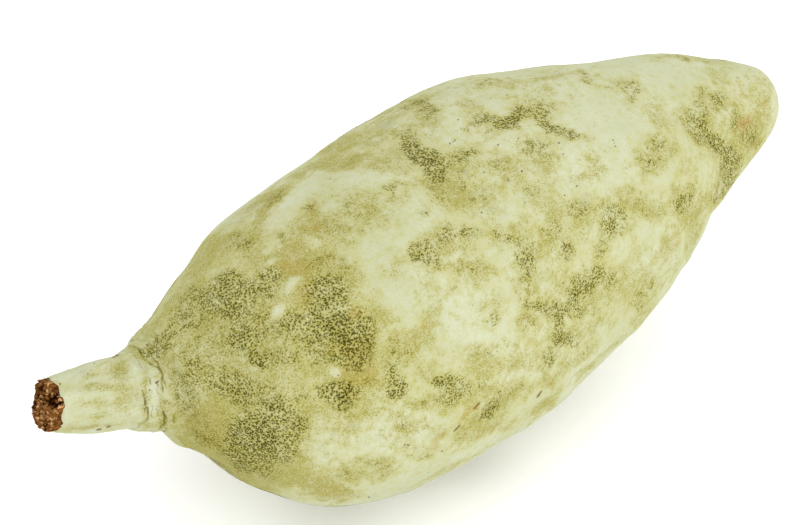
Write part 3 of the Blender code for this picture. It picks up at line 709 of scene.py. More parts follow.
@dataclass
class PodForm:
    """The pod's shape: a bent, egg-like body with a blunt nose behind a raised shoulder."""

    stations: Stations = Stations(
        (
            (0.0, 13.0, -1.0, 4.0),
            (3.0, 17.5, -4.0, 3.0),
            (9.0, 22.5, -6.0, 2.0),
            (18.0, 31.0, -8.5, 0.0),
            (36.0, 40.5, -8.0, -2.5),
            (61.0, 45.5, -6.0, -3.0),
            (88.0, 47.0, -1.5, -3.5),
            (114.0, 45.5, 2.0, -2.5),
            (137.0, 39.0, 2.0, 0.5),
            (156.0, 31.5, 0.5, 3.5),
            (172.0, 24.5, 1.5, 6.0),
            (185.0, 18.5, 2.0, 7.0),
            (196.0, 13.5, 1.0, 8.0),
            (203.5, 8.0, 0.5, 8.0),
            (206.5, 0.0, 0.5, 8.0),
        ),
        True,
    )
    ridge_count: int = 5
    ridge_height: float = 0.45
    ridge_phase: float = math.radians(20.0)
    lump_height: float = 0.5
    lump_spacing: float = 13.0
    lump_drift: float = 31.0
    fade_radius: float = 20.0
    shoulder_along: float = 166.5
    shoulder_sweep: float = 35.0
    shoulder_angle: float = math.radians(172.0)
    shoulder_spread: float = math.radians(50.0)
    shoulder_height: float = 0.8
    shoulder_width: float = 5.0
    groove_depth: float = 1.8
    groove_width: float = 6.0
    groove_offset: float = 8.0
    waist_along: float = 5.0
    waist_width: float = 6.0
    waist_angle: float = math.radians(224.0)
    waist_spread: float = math.radians(35.0)
    waist_depth: float = 1.0
    flat_depth: float = 0.6
    grid: SkinGrid = SkinGrid(290, 336, 0.998)

    def neck(self) -> Array:
        """Return the middle of the neck's flat disc."""
        along, _, side, height = self.stations.rows[0]
        return np.array([along, side, height])

    def relief(self, along: Array, angle: Array) -> Array:
        """Return the low forms that stand out from the round section.

        Five cosine ridges and slow crossed waves fade toward both ends. The shoulder is a bell
        curve along the pod whose place sweeps back with the angle, and the groove is another one
        in front of it; both fade away from the shoulder's own side. The waist is a dip under the
        stalk's side of the pod, a bell curve along it and round it.

        Args:
            along: the place along the pod.
            angle: the angle round it, from the +Y side over the top.

        Returns:
            The height of the relief in millimetres.
        """
        belly = np.sin(np.pi * np.clip(along / self.stations.rows[-1][0], 0.0, 1.0))
        ridges = self.ridge_height * belly * np.cos(self.ridge_count * angle + self.ridge_phase)
        wave = np.sin(along / self.lump_spacing + 2.0 * np.sin(angle))
        lumps = self.lump_height * belly * wave * np.cos(2.0 * angle + along / self.lump_drift)
        turn = turn_from(self.shoulder_angle, angle)
        ahead = along - self.shoulder_along + self.shoulder_sweep * (1.0 - np.cos(turn))
        shoulder = self.shoulder_height * bell(ahead, self.shoulder_width)
        groove = self.groove_depth * bell(ahead - self.groove_offset, self.groove_width)
        waist = self.waist_depth * bell(along - self.waist_along, self.waist_width)
        waist = waist * bell(turn_from(self.waist_angle, angle), self.waist_spread)
        return ridges + lumps - waist + bell(turn, self.shoulder_spread) * (shoulder - groove)

    def around(self, sections: Array, angle: Array) -> Array:
        """Return points on the skin: the middle line plus radius and relief, turned by the angle.

        Args:
            sections: along, radius, side and height, one row for each point.
            angle: the angle round the middle line.

        Returns:
            The points in the fruit's frame.
        """
        along, radius, side, height = sections.T
        radius = np.maximum(radius, 0.0)
        reach = radius + self.relief(along, angle) * np.minimum(radius / self.fade_radius, 1.0)
        across, up = reach * np.cos(angle), reach * np.sin(angle)
        return np.stack([along, side + across, height + up], axis=1)

    def at(self, along: Array, angle: Array) -> Array:
        """Return points on the skin at places along the pod near its neck."""
        fine = np.linspace(0.0, 0.4, 400)
        fraction = np.interp(along, self.stations.read(fine)[:, 0], fine)
        return self.around(self.stations.read(fraction), angle)

    def points(self) -> Array:
        """Return the skin's vertices, ring by ring, then the neck's middle and the nose's tip."""
        share, angle = self.grid.parameters()
        skin = self.around(self.stations.even(share), angle)
        along, _, side, height = self.stations.rows[-1]
        return np.vstack([skin, self.neck(), (along, side, height)])


@dataclass
class PodSkin:
    """The pod's felt skin, with fine relief where it is worn, wrinkled or ridged."""

    form: PodForm
    painter: WearPainter
    swells: tuple[Blot, ...] = POD_SWELLS
    ridges: tuple[Line, ...] = POD_RIDGES
    ridge_height: float = 0.35
    ridge_width: float = 6.0
    worn_depth: float = 0.16
    dimple_height: float = 0.22
    dimple_spacing: float = 9.0
    neck_fold_height: float = 0.35
    neck_fold_rate: float = 2.6
    neck_fold_drift: float = 1.5
    neck_fold_reach: float = 7.0
    nose_fade_start: float = 196.0
    nose_fade_end: float = 207.0
    noise: SolidNoise = SolidNoise(5)

    def build(self, shift: Array) -> tuple[bpy.types.Object, Array]:
        """Build the skin.

        Args:
            shift: the fruit frame's place in the scene along X and Y, in millimetres.

        Returns:
            The piece, and the whole shift with the height that stands it on the ground.
        """
        grid = self.form.grid
        points = self.form.points()
        count = grid.rings * grid.segments
        normals = grid.normals(points)
        marks = self.painter.paint(points[:count], normals)
        # Painted shade: the crease mark darkens the dips of the neck folds
        marks["crease"] = 0.9 * smoothstep(0.3, 0.95, -self.folds(points[:count]))
        points[:count] += self.fine_relief(points[:count], normals, marks)[:, None] * normals
        ground = points[:, 2].min() + self.form.flat_depth
        points[:, 2] = np.maximum(points[:, 2], ground)
        whole = np.array([shift[0], shift[1], -ground])
        padded = {key: np.append(values, [values[0], values[-1]]) for key, values in marks.items()}
        piece = make_piece("pod_skin", points + whole, grid.faces((True, True)), padded)
        return piece, whole

    def folds(self, points: Array) -> Array:
        """Return the folds round the neck: sine waves along the pod that fade out past it."""
        drift = self.neck_fold_drift * self.noise.values(points, 5.0)
        waves = np.sin(points[:, 0] * self.neck_fold_rate + drift)
        return waves * smoothstep(self.neck_fold_reach, 0.5, points[:, 0])

    def fine_relief(self, points: Array, normals: Array, marks: dict[str, Array]) -> Array:
        """Return the skin's fine height: dimples, sunk worn patches, swells, ridges and neck folds.

        It fades to nothing at the nose's tip.

        Args:
            points: the skin's points in the fruit's frame.
            normals: the skin's outward directions.
            marks: the painted marks.

        Returns:
            The height in millimetres for each point.
        """
        height = self.dimple_height * self.noise.layers(points, self.dimple_spacing, 3)
        height -= self.worn_depth * smoothstep(0.2, 0.7, marks["worn"])
        pixels = self.painter.camera.pixels(points)
        near = smoothstep(-0.25, 0.0, self.painter.camera.facing(points, normals))
        for swell in self.swells:
            height += swell.cover(pixels) * near
        for line in self.ridges:
            height += self.ridge_height * bell(line.distance(pixels), self.ridge_width) * near
        height += self.neck_fold_height * self.folds(points)
        return height * smoothstep(self.nose_fade_end, self.nose_fade_start, points[:, 0])


@dataclass
class StalkForm:
    """The stalk's shape: a tapering, lightly bent stem with a collar ring and a ragged end."""

    stations: Stations = Stations(
        (
            (0.0, 11.4),
            (2.0, 11.8),
            (5.0, 11.0),
            (9.0, 10.2),
            (14.0, 9.6),
            (20.0, 8.6),
            (25.0, 7.7),
            (29.0, 7.0),
        ),
        False,
    )
    gap: float = 0.3
    end_side: float = 2.5
    end_rise: float = 6.5
    bend_power: float = 1.15
    square_along: float = 6.0
    ridge_count: int = 7
    ridge_height: float = 0.25
    ring_line_along: float = 9.0
    ring_line_depth: float = 0.3
    ring_line_width: float = 0.7
    waists: tuple[tuple[float, float, float, float, float], ...] = (
        (11.0, 5.0, -44.0, 35.0, 0.9),
        (8.0, 4.0, 136.0, 30.0, 0.6),
    )
    rim_wave: float = 0.3
    rim_back: float = 0.8
    rim_tips: tuple[tuple[float, float, float], ...] = (
        (132.0, 30.0, 1.5),
        (75.0, 30.0, 1.1),
        (-55.0, 35.0, 2.4),
        (-134.0, 38.0, 2.1),
    )
    rim_start_power: int = 4

    def length(self) -> float:
        """Return the stalk's length along its middle line."""
        return self.stations.rows[-1][0]

    def around(self, neck: Array, way: Array, radius: Array, angle: Array) -> Array:
        """Return points round the stalk's middle line.

        The middle line leaves the neck straight back and rises and turns aside by a power of the
        way along it. Each section stands square to a line that turns into the bend.

        Args:
            neck: the middle of the pod's neck.
            way: the way along the stalk.
            radius: the distance from the middle line.
            angle: the angle round it.

        Returns:
            The points in the fruit's frame.
        """
        part = np.clip(way / self.length(), 0.0, None)
        bend = part**self.bend_power
        slope = self.bend_power * part ** (self.bend_power - 1.0) / self.length()
        line = np.stack([-self.gap - way, self.end_side * bend, self.end_rise * bend], axis=1)
        lean = slope * np.clip(way / self.square_along, 0.0, 1.0)
        forward = np.stack([-np.ones_like(way), self.end_side * lean, self.end_rise * lean], axis=1)
        forward /= np.linalg.norm(forward, axis=1)[:, None]
        side = np.cross((0.0, 0.0, 1.0), forward)
        side /= np.linalg.norm(side, axis=1)[:, None]
        up = np.cross(forward, side)
        spoke = np.cos(angle)[:, None] * side + np.sin(angle)[:, None] * up
        return neck + line + radius[:, None] * spoke

    def waist(self, way: Array, angle: Array) -> Array:
        """Return how deep the stalk is drawn in at its waists.

        Each is a bell curve along the stalk and another round it: its place and width in
        millimetres, its middle and spread in degrees, and its depth.
        """
        depth = np.zeros_like(way)
        for place, width, middle, spread, drawn in self.waists:
            turn = turn_from(math.radians(middle), angle)
            depth = depth + drawn * bell(way - place, width) * bell(turn, math.radians(spread))
        return depth

    def rim(self, angle: Array) -> Array:
        """Return how far the ragged rim reaches past the stalk's end: waves with wide torn tips.

        Each tip is a bell curve of the angle: its middle and its spread in degrees, and its reach.
        """
        waves = np.sin(3.0 * angle + 0.8) + 0.6 * np.sin(7.0 * angle)
        reach = self.rim_wave * waves - self.rim_back
        for middle, spread, tip in self.rim_tips:
            turn = turn_from(math.radians(middle), angle)
            reach = reach + tip * bell(turn, math.radians(spread))
        return reach


STALK_BLOTS: dict[Wear, tuple[Blot, ...]] = {
    Wear.PITTED: ovals(
        (149, 350, 15, 7, 40, 0.8), (140, 343, 10, 5, -20, 0.5), (165, 374, 5, 14, -20, 0.5),
        (170, 398, 4, 16, 0, 0.7), (98, 386, 22, 2.5, -6, 0.35), (92, 374, 10, 2.5, -20, 0.3),
        (126, 376, 7, 13, -10, 0.2), (112, 362, 16, 2.5, -22, 0.3), (145, 400, 1.6, 22, 3, 0.6),
        (164, 418, 7, 7, 20, 0.5), (90, 427, 22, 2, -4, 0.35), (150, 424, 12, 3, 0, 0.1),
    ),
    Wear.WORN: ovals(
        (108, 368, 36, 5, -22, 0.3), (98, 387, 28, 5, -6, 0.45), (126, 380, 9, 18, -20, 0.45),
        (116, 372, 14, 7, -22, 0.15), (148, 352, 20, 10, 30, 0.65), (88, 427, 30, 4, -4, 0.4),
        (124, 402, 8, 16, 10, 0.3), (90, 404, 24, 4, -4, 0.25), (112, 416, 22, 4, -4, 0.25),
        (145, 398, 5, 26, 3, 0.5), (165, 402, 7, 26, 5, 0.8), (152, 374, 12, 6, -20, 0.2),
        (150, 422, 18, 6, 0, 0.2), (105, 396, 60, 40, 0, 0.14),
    ),
    Wear.SCUFF: ovals(
        (80, 374, 16, 3, -22, 0.45), (140, 364, 14, 5, 30, 0.5), (136, 395, 5, 16, 0, 0.35),
        (158, 396, 3, 18, 5, 0.2), (110, 400, 40, 16, 0, 0.2),
    ),
    Wear.RUST: ovals(
        (59, 383, 4, 2, 20, 0.5),
    ),
}
STALK_CRACKS = (
    Line(((97, 430), (101, 429))),
    Line(((107, 427), (110, 426))),
    Line(((156, 383), (159, 381))),
    Line(((113, 357), (118, 355))),
)
STALK_NICKS = (
    (150, 390), (145, 400), (145, 404), (144, 395), (88, 374), (60, 384), (147, 345), (159, 357),
    (154, 352),
)


@dataclass
class StalkSkin:
    """The stalk's felted sleeve, flared onto the pod, with a wrinkled collar and a ring line."""

    form: StalkForm
    pod: PodForm
    painter: WearPainter
    pod_painter: WearPainter
    grid: SkinGrid = SkinGrid(210, 250)
    flare: float = 3.6
    blend_start: float = 3.4
    blend_end: float = -1.6
    flare_slope: float = 0.5
    flare_lift: float = 0.35
    flare_tuck: float = 0.7
    flare_outward: tuple[float, float] = (0.8, 0.6)
    fold_height: float = 0.36
    collar_lines: tuple[tuple[float, float], ...] = (
        (1.3, 0.7),
        (2.0, 0.9),
        (2.8, 1.0),
        (3.6, 0.9),
        (4.4, 0.8),
        (5.3, 0.7),
        (6.3, 0.6),
        (7.4, 0.5),
    )
    line_width: float = 0.23
    line_drift: float = 1.0
    grain_height: float = 0.12
    onto_start: float = 3.4
    onto_end: float = 2.0
    onto_drift: float = 0.8
    rim_grit: float = 0.35
    lip_depth: float = 0.5
    noise: SolidNoise = SolidNoise(23)

    def build(self, whole: Array) -> bpy.types.Object:
        """Build the sleeve as a tube from under the pod's skin to the ragged rim.

        Args:
            whole: the fruit frame's place in the scene.

        Returns:
            The piece.
        """
        share, angle = self.grid.parameters()
        length = self.form.length()
        way = -self.flare + share * (length + self.flare)
        rough = self.surface(way, angle, np.zeros_like(way))
        ragged = self.form.rim(angle) + self.rim_grit * self.noise.layers(rough, 1.6, 2)
        past = ragged * np.clip(way / length, 0.0, 1.0) ** self.form.rim_start_power
        points = self.surface(way + past, angle, self.relief(way, angle, rough))
        marks = self.marks(points, way, self.folds(way, rough))
        return make_piece("stalk_skin", points + whole, self.grid.faces((False, False)), marks)

    def marks(self, points: Array, way: Array, folds: Array) -> dict[str, Array]:
        """Return the stalk's own marks on its tube, and the pod's where the sleeve lies on it.

        Args:
            points: the sleeve's points in the fruit's frame.
            way: the way along the stalk.
            folds: the collar's folds.

        Returns:
            The attribute values by name.
        """
        normals = self.grid.normals(points)
        own = self.painter.paint(points, normals)
        pods = self.pod_painter.paint(points, normals)
        wandering = way + self.onto_drift * self.noise.layers(points, 2.5, 2)
        onto = smoothstep(self.onto_start, self.onto_end, wandering)
        for key in ("worn", "pitted", "rust", "scuff", "blush", "stain"):
            own[key] = own[key] * (1.0 - onto) + pods[key] * onto
        # Painted shade: the crease mark darkens the dips of the collar folds
        own["crease"] = np.clip(-1.1 * folds, 0.0, 1.0)
        return own

    def folds(self, way: Array, rough: Array) -> Array:
        """Return the collar's folds: dips of up to 1 at lines round it, swollen between them.

        Each line wanders by noise and comes and goes with another noise.
        """
        total = 0.35 * smoothstep(1.2, 2.4, way) * smoothstep(7.5, 5.0, way)
        for number, (place, strength) in enumerate(self.collar_lines):
            apart = rough + 13.0 * number
            gap = way - place - self.line_drift * self.noise.layers(apart, 6.0, 3)
            come = smoothstep(-0.5, 0.35, self.noise.layers(apart + 31.0, 2.6, 2))
            total = total - strength * (come * bell(gap, self.line_width))
        return total

    def surface(self, way: Array, angle: Array, relief: Array) -> Array:
        """Return points on the sleeve, which turns from the stalk's tube into the pod's skin.

        Ahead of the blend it is the stalk's tube. Through the blend each point is a smooth mix of
        the tube and of the pod's skin behind it, which makes the hollow fillet of the collar. The
        last of it dips under the pod's skin.

        Args:
            way: the way along the stalk, less than nought on the pod.
            angle: the angle round the stalk.
            relief: the height to add.

        Returns:
            The points in the fruit's frame.
        """
        held = np.maximum(way, 0.0)
        part = np.clip(held / self.form.length(), 0.0, 1.0)
        fine = np.linspace(0.0, 1.0, 400)
        outline = self.form.stations.read(fine)
        radius = np.interp(part, outline[:, 0] / self.form.length(), outline[:, 1])
        lip = self.lip_depth * smoothstep(self.form.length() - 0.9, self.form.length(), way)
        tube = self.form.around(self.pod.neck(), held, radius + relief - lip, angle)
        behind = np.maximum(self.blend_start - way, 0.0) * self.flare_slope
        skin = self.pod.at(behind, np.pi - angle)
        back, out = self.flare_outward
        behind = np.full_like(angle, -back)
        outward = np.stack([behind, -out * np.cos(angle), out * np.sin(angle)], axis=1)
        tuck = (self.flare_lift + self.flare_tuck) * smoothstep(-0.8, -self.flare, way)
        skin = skin + (self.flare_lift - tuck + relief)[:, None] * outward
        mix = smoothstep(self.blend_start, self.blend_end, way)[:, None]
        return tube * (1.0 - mix) + skin * mix

    def relief(self, way: Array, angle: Array, rough: Array) -> Array:
        """Return the sleeve's relief: cosine ridges, collar folds, ring line, waists and grain."""
        held = np.maximum(way, 0.0)
        ridges = self.form.ridge_height * np.cos(self.form.ridge_count * angle)
        ridges = ridges * np.clip(held / self.form.square_along, 0.0, 1.0)
        folds = self.fold_height * self.folds(way, rough)
        at_ring = way - self.form.ring_line_along - 0.6 * self.noise.layers(rough, 6.0, 3)
        ring = self.form.ring_line_depth * bell(at_ring, self.form.ring_line_width)
        grain = self.grain_height * self.noise.layers(rough, 2.5, 3)
        return ridges + folds - ring - self.form.waist(way, angle) + grain


@dataclass
class TornEnd:
    """The stalk's torn end: a bulging face of brown crumbs with hollows between them, dark with
    painted shade.
    """

    form: StalkForm
    neck: Array
    grid: SkinGrid = SkinGrid(110, 330, 0.992)
    crumb_count: int = 420
    crumb_radius: float = 0.62
    crumb_height: float = 0.55
    crumb_step: float = 0.5
    hollow_depth: float = 1.0
    grit_height: float = 0.22
    bulge: float = 1.5
    skirt: float = 1.8
    skirt_share: float = 0.07
    rim_inset: float = 0.15
    rim_swell: float = 0.3
    rim_swell_share: float = 0.3
    spread: float = 0.3
    seed: int = 31
    noise: SolidNoise = SolidNoise(37)

    def build(self, whole: Array) -> bpy.types.Object:
        """Build the torn face from its rim inward.

        Its skirt starts under the sleeve. The face bulges past the sleeve as a quarter sine and
        carries the crumbs' height on top.

        Args:
            whole: the fruit frame's place in the scene.

        Returns:
            The piece.
        """
        share, angle = self.grid.parameters()
        length, end_radius = self.form.stations.rows[-1]
        outer = 1.0 - share
        flat = (outer * end_radius)[:, None] * np.stack([np.cos(angle), np.sin(angle)], axis=1)
        height, tone = self.crumbs(flat)
        rise = smoothstep(0.0, self.skirt_share, share)
        tucked = self.skirt * smoothstep(self.skirt_share, 0.0, share)
        way = length - tucked + self.form.rim(angle) * outer**2
        way += self.bulge * np.sin(0.5 * np.pi * share) + height * rise
        spread = self.spread * self.noise.layers(np.column_stack([flat, way]), 0.9, 3) * rise
        swell = self.rim_swell * rise * smoothstep(self.rim_swell_share, 0.0, share)
        radius = outer * (end_radius - self.rim_inset) + spread * outer + swell
        points = self.form.around(self.neck, way, radius, angle)
        middle = points[-self.grid.segments :].mean(axis=0)
        marks = {"depth": height, "tone": tone}
        padded = {key: np.append(values, values[-1]) for key, values in marks.items()}
        closed = np.vstack([points, middle]) + whole
        return make_piece("torn_end", closed, self.grid.faces((False, True)), padded)

    def crumbs(self, flat: Array) -> tuple[Array, Array]:
        """Pack round crumbs over the face.

        Each place takes the crumb whose middle is nearest: a dome whose top stands at that crumb's
        own level, over a floor that sinks where crumbs are missing, with grit over all of it.

        Args:
            flat: places on the face.

        Returns:
            The height of the face, and a tone from 0 to 1 that is the same all over a crumb.
        """
        rng = np.random.default_rng(self.seed)
        reach = self.form.stations.rows[-1][1]
        spots = rng.uniform(-reach, reach, (self.crumb_count, 2))
        levels = rng.uniform(-1.0, 1.0, self.crumb_count)
        tones = rng.uniform(0.0, 1.0, self.crumb_count)
        apart = np.linalg.norm(flat[:, None, :] - spots[None, :, :], axis=2)
        nearest = apart.argmin(axis=1)
        near = apart[np.arange(len(flat)), nearest]
        dome = np.sqrt(np.clip(1.0 - (near / self.crumb_radius) ** 2, 0.0, 1.0))
        place = np.column_stack([flat, np.zeros(len(flat))])
        floor = self.hollow_depth * np.minimum(self.noise.layers(place, 3.0, 2), 0.3)
        grit = self.grit_height * self.noise.layers(place + 7.0, 0.6, 2)
        height = floor + self.crumb_step * levels[nearest] + self.crumb_height * dome + grit
        return height, tones[nearest]


STUDIO_GAIN = 1.33


def linear(colour: tuple[float, float, float]) -> tuple[float, float, float, float]:
    """Turn a colour as the picture shows it, 0 to 255, into the linear values that a shader takes.

    The studio's light brightens what it falls on, so the values are taken down by its gain.
    """
    part = np.asarray(colour) / 255.0
    value = np.where(part <= 0.04045, part / 12.92, ((part + 0.055) / 1.055) ** 2.4) / STUDIO_GAIN
    return (float(value[0]), float(value[1]), float(value[2]), 1.0)


class Graph:
    """Adds nodes to a node tree and links them as they are named."""

    def __init__(self, tree: bpy.types.NodeTree) -> None:
        """Keep the tree that the nodes go into."""
        self.tree = tree

    def node(
        self, kind: str, inputs: dict[Any, Any] | None = None, **settings: Any
    ) -> bpy.types.Node:
        """Add a node.

        Args:
            kind: the node's type.
            inputs: a value or another node's output for each named or numbered input.
            settings: the node's own properties.

        Returns:
            The node.
        """
        made = self.tree.nodes.new(kind)
        for key, value in settings.items():
            setattr(made, key, value)
        for key, value in (inputs or {}).items():
            if isinstance(value, bpy.types.NodeSocket):
                self.tree.links.new(value, made.inputs[key])
            else:
                made.inputs[key].default_value = value
        return made

    def math(
        self, operation: str, first: Any, second: Any = 0.0, third: Any = 0.0
    ) -> bpy.types.NodeSocket:
        """Add a Math node and return its output."""
        inputs = {0: first, 1: second, 2: third}
        return self.node("ShaderNodeMath", inputs, operation=operation).outputs[0]

    def times(self, first: Any, second: Any) -> bpy.types.NodeSocket:
        """Multiply two values."""
        return self.math("MULTIPLY", first, second)

    def centred(self, value: bpy.types.NodeSocket) -> bpy.types.NodeSocket:
        """Move a noise from round a half to round nought."""
        return self.math("SUBTRACT", value, 0.5)

    def add(self, first: Any, *others: tuple[bpy.types.NodeSocket, float]) -> bpy.types.NodeSocket:
        """Add values, each times its share, to the first one, and leave out those with no share."""
        total = first
        for value, share in others:
            if share:
                total = self.math("MULTIPLY_ADD", value, share, total)
        return total

    def rise(self, value: Any, low: Any, high: Any, top: Any = 1.0) -> bpy.types.NodeSocket:
        """Rise smoothly from 0 to top as value goes from low to high."""
        made = self.node(
            "ShaderNodeMapRange",
            {"Value": value, "From Min": low, "From Max": high, "To Max": top},
            interpolation_type="SMOOTHSTEP",
        )
        return made.outputs["Result"]

    def mix(self, factor: Any, first: Any, second: Any) -> bpy.types.NodeSocket:
        """Mix two colours and return the result."""
        made = self.node("ShaderNodeMix", {"Factor": factor}, data_type="RGBA")
        colour_inputs = [socket for socket in made.inputs if socket.type == "RGBA"]
        for socket, value in zip(colour_inputs, (first, second)):
            if isinstance(value, bpy.types.NodeSocket):
                self.tree.links.new(value, socket)
            else:
                socket.default_value = value
        return [socket for socket in made.outputs if socket.type == "RGBA"][0]

    def noise(
        self, place: Any, scale: float, detail: float, roughness: float = 0.5
    ) -> bpy.types.NodeSocket:
        """Add a Noise Texture and return its value."""
        inputs = {"Vector": place, "Scale": scale, "Detail": detail, "Roughness": roughness}
        return self.node("ShaderNodeTexNoise", inputs).outputs[0]

    def attribute(self, name: str) -> bpy.types.NodeSocket:
        """Read a vertex value by name."""
        return self.node("ShaderNodeAttribute", attribute_name=name).outputs["Fac"]

    def scaled(self, place: Any, scale: Any) -> bpy.types.NodeSocket:
        """Scale a vector."""
        inputs = {0: place, "Scale": scale}
        return self.node("ShaderNodeVectorMath", inputs, operation="SCALE").outputs[0]

    def millimetres(self) -> bpy.types.NodeSocket:
        """Return Object coordinates in millimetres."""
        return self.scaled(self.node("ShaderNodeTexCoord").outputs["Object"], 1.0 / MM)

    def bump(self, height: bpy.types.NodeSocket) -> bpy.types.NodeSocket:
        """Turn a height in millimetres into a normal."""
        inputs = {"Strength": 1.0, "Distance": MM, "Height": height}
        return self.node("ShaderNodeBump", inputs).outputs[0]


@dataclass(frozen=True)
class FeltColours:
    """The felt's colours, 0 to 255 as a picture shows them."""

    fresh: tuple[float, float, float] = (218, 222, 191)
    shaded: tuple[float, float, float] = (209, 213, 176)
    olive: tuple[float, float, float] = (157, 149, 54)
    straw: tuple[float, float, float] = (208, 207, 140)
    stained: tuple[float, float, float] = (197, 192, 114)
    # Olive of the pits' rims, also the colour of the painted shade in the folds' dips
    halo: tuple[float, float, float] = (128, 121, 18)
    pit: tuple[float, float, float] = (42, 42, 0)
    rust: tuple[float, float, float] = (184, 142, 60)
    scuff: tuple[float, float, float] = (190, 194, 158)
    blush: tuple[float, float, float] = (196, 152, 104)
    crack: tuple[float, float, float] = (120, 82, 40)


def colour_inputs() -> dict[str, str]:
    """Return the name of the felt group's input for each of its colours."""
    return {colour.name: colour.name.capitalize() + " Colour" for colour in fields(FeltColours)}


@dataclass(frozen=True)
class Breakup:
    """How noise breaks a painted mark up: where it rises from 0 to 1, and each noise's share."""

    low: float
    high: float
    ragged: float = 0.0
    cluster: float = 0.0
    fine: float = 0.0


@dataclass(frozen=True)
class Layer:
    """A layer of the felt's colour: the mask it fills, its strength there, and its colour."""

    mask: str
    share: float
    colour: str


BREAKUPS = {
    "Stain": Breakup(-0.1, 0.9, ragged=0.9, cluster=0.6, fine=0.2),
    "Worn": Breakup(0.05, 0.95, ragged=0.9, cluster=0.8, fine=0.6),
    "Rust": Breakup(-0.05, 1.2, cluster=0.8, fine=0.7),
    "Scuff": Breakup(0.2, 0.9, fine=1.6),
    "Blush": Breakup(0.3, 1.3, fine=2.2),
    "Crack": Breakup(0.34, 0.1, fine=0.7),
    "Nick": Breakup(0.28, 0.1, fine=0.9),
    # Crease is the painted shade in the folds' dips
    "Crease": Breakup(0.1, 0.8, fine=0.7),
}

# From fresh felt up
FELT_LAYERS = (
    Layer("broad", 1.0, "shaded"),
    Layer("cloud", 0.35, "straw"),
    Layer("stain", 0.85, "stained"),
    Layer("rust", 0.8, "rusty"),
    Layer("speck", 0.68, "olive"),
    Layer("strand", 0.4, "straw"),
    # Painted shade in the folds' dips, in the olive halo colour
    Layer("crease", 0.8, "halo"),
    Layer("halo", 0.55, "halo"),
    Layer("pit", 1.0, "pit"),
    Layer("scuff", 0.75, "scuff"),
    Layer("blush", 0.75, "blush"),
    Layer("crack", 0.8, "crack"),
    Layer("nick", 0.6, "pit"),
    Layer("tuft_shade", 1.0, "olive"),
)

# How far each mask lifts the skin, in millimetres
FELT_HEIGHTS = {
    "worn": -0.05,
    "halo": -0.05,
    "pit": -0.12,
    "crease": -0.1,
    "crack": -0.2,
    "nick": -0.2,
}

Masks = dict[str, bpy.types.NodeSocket]


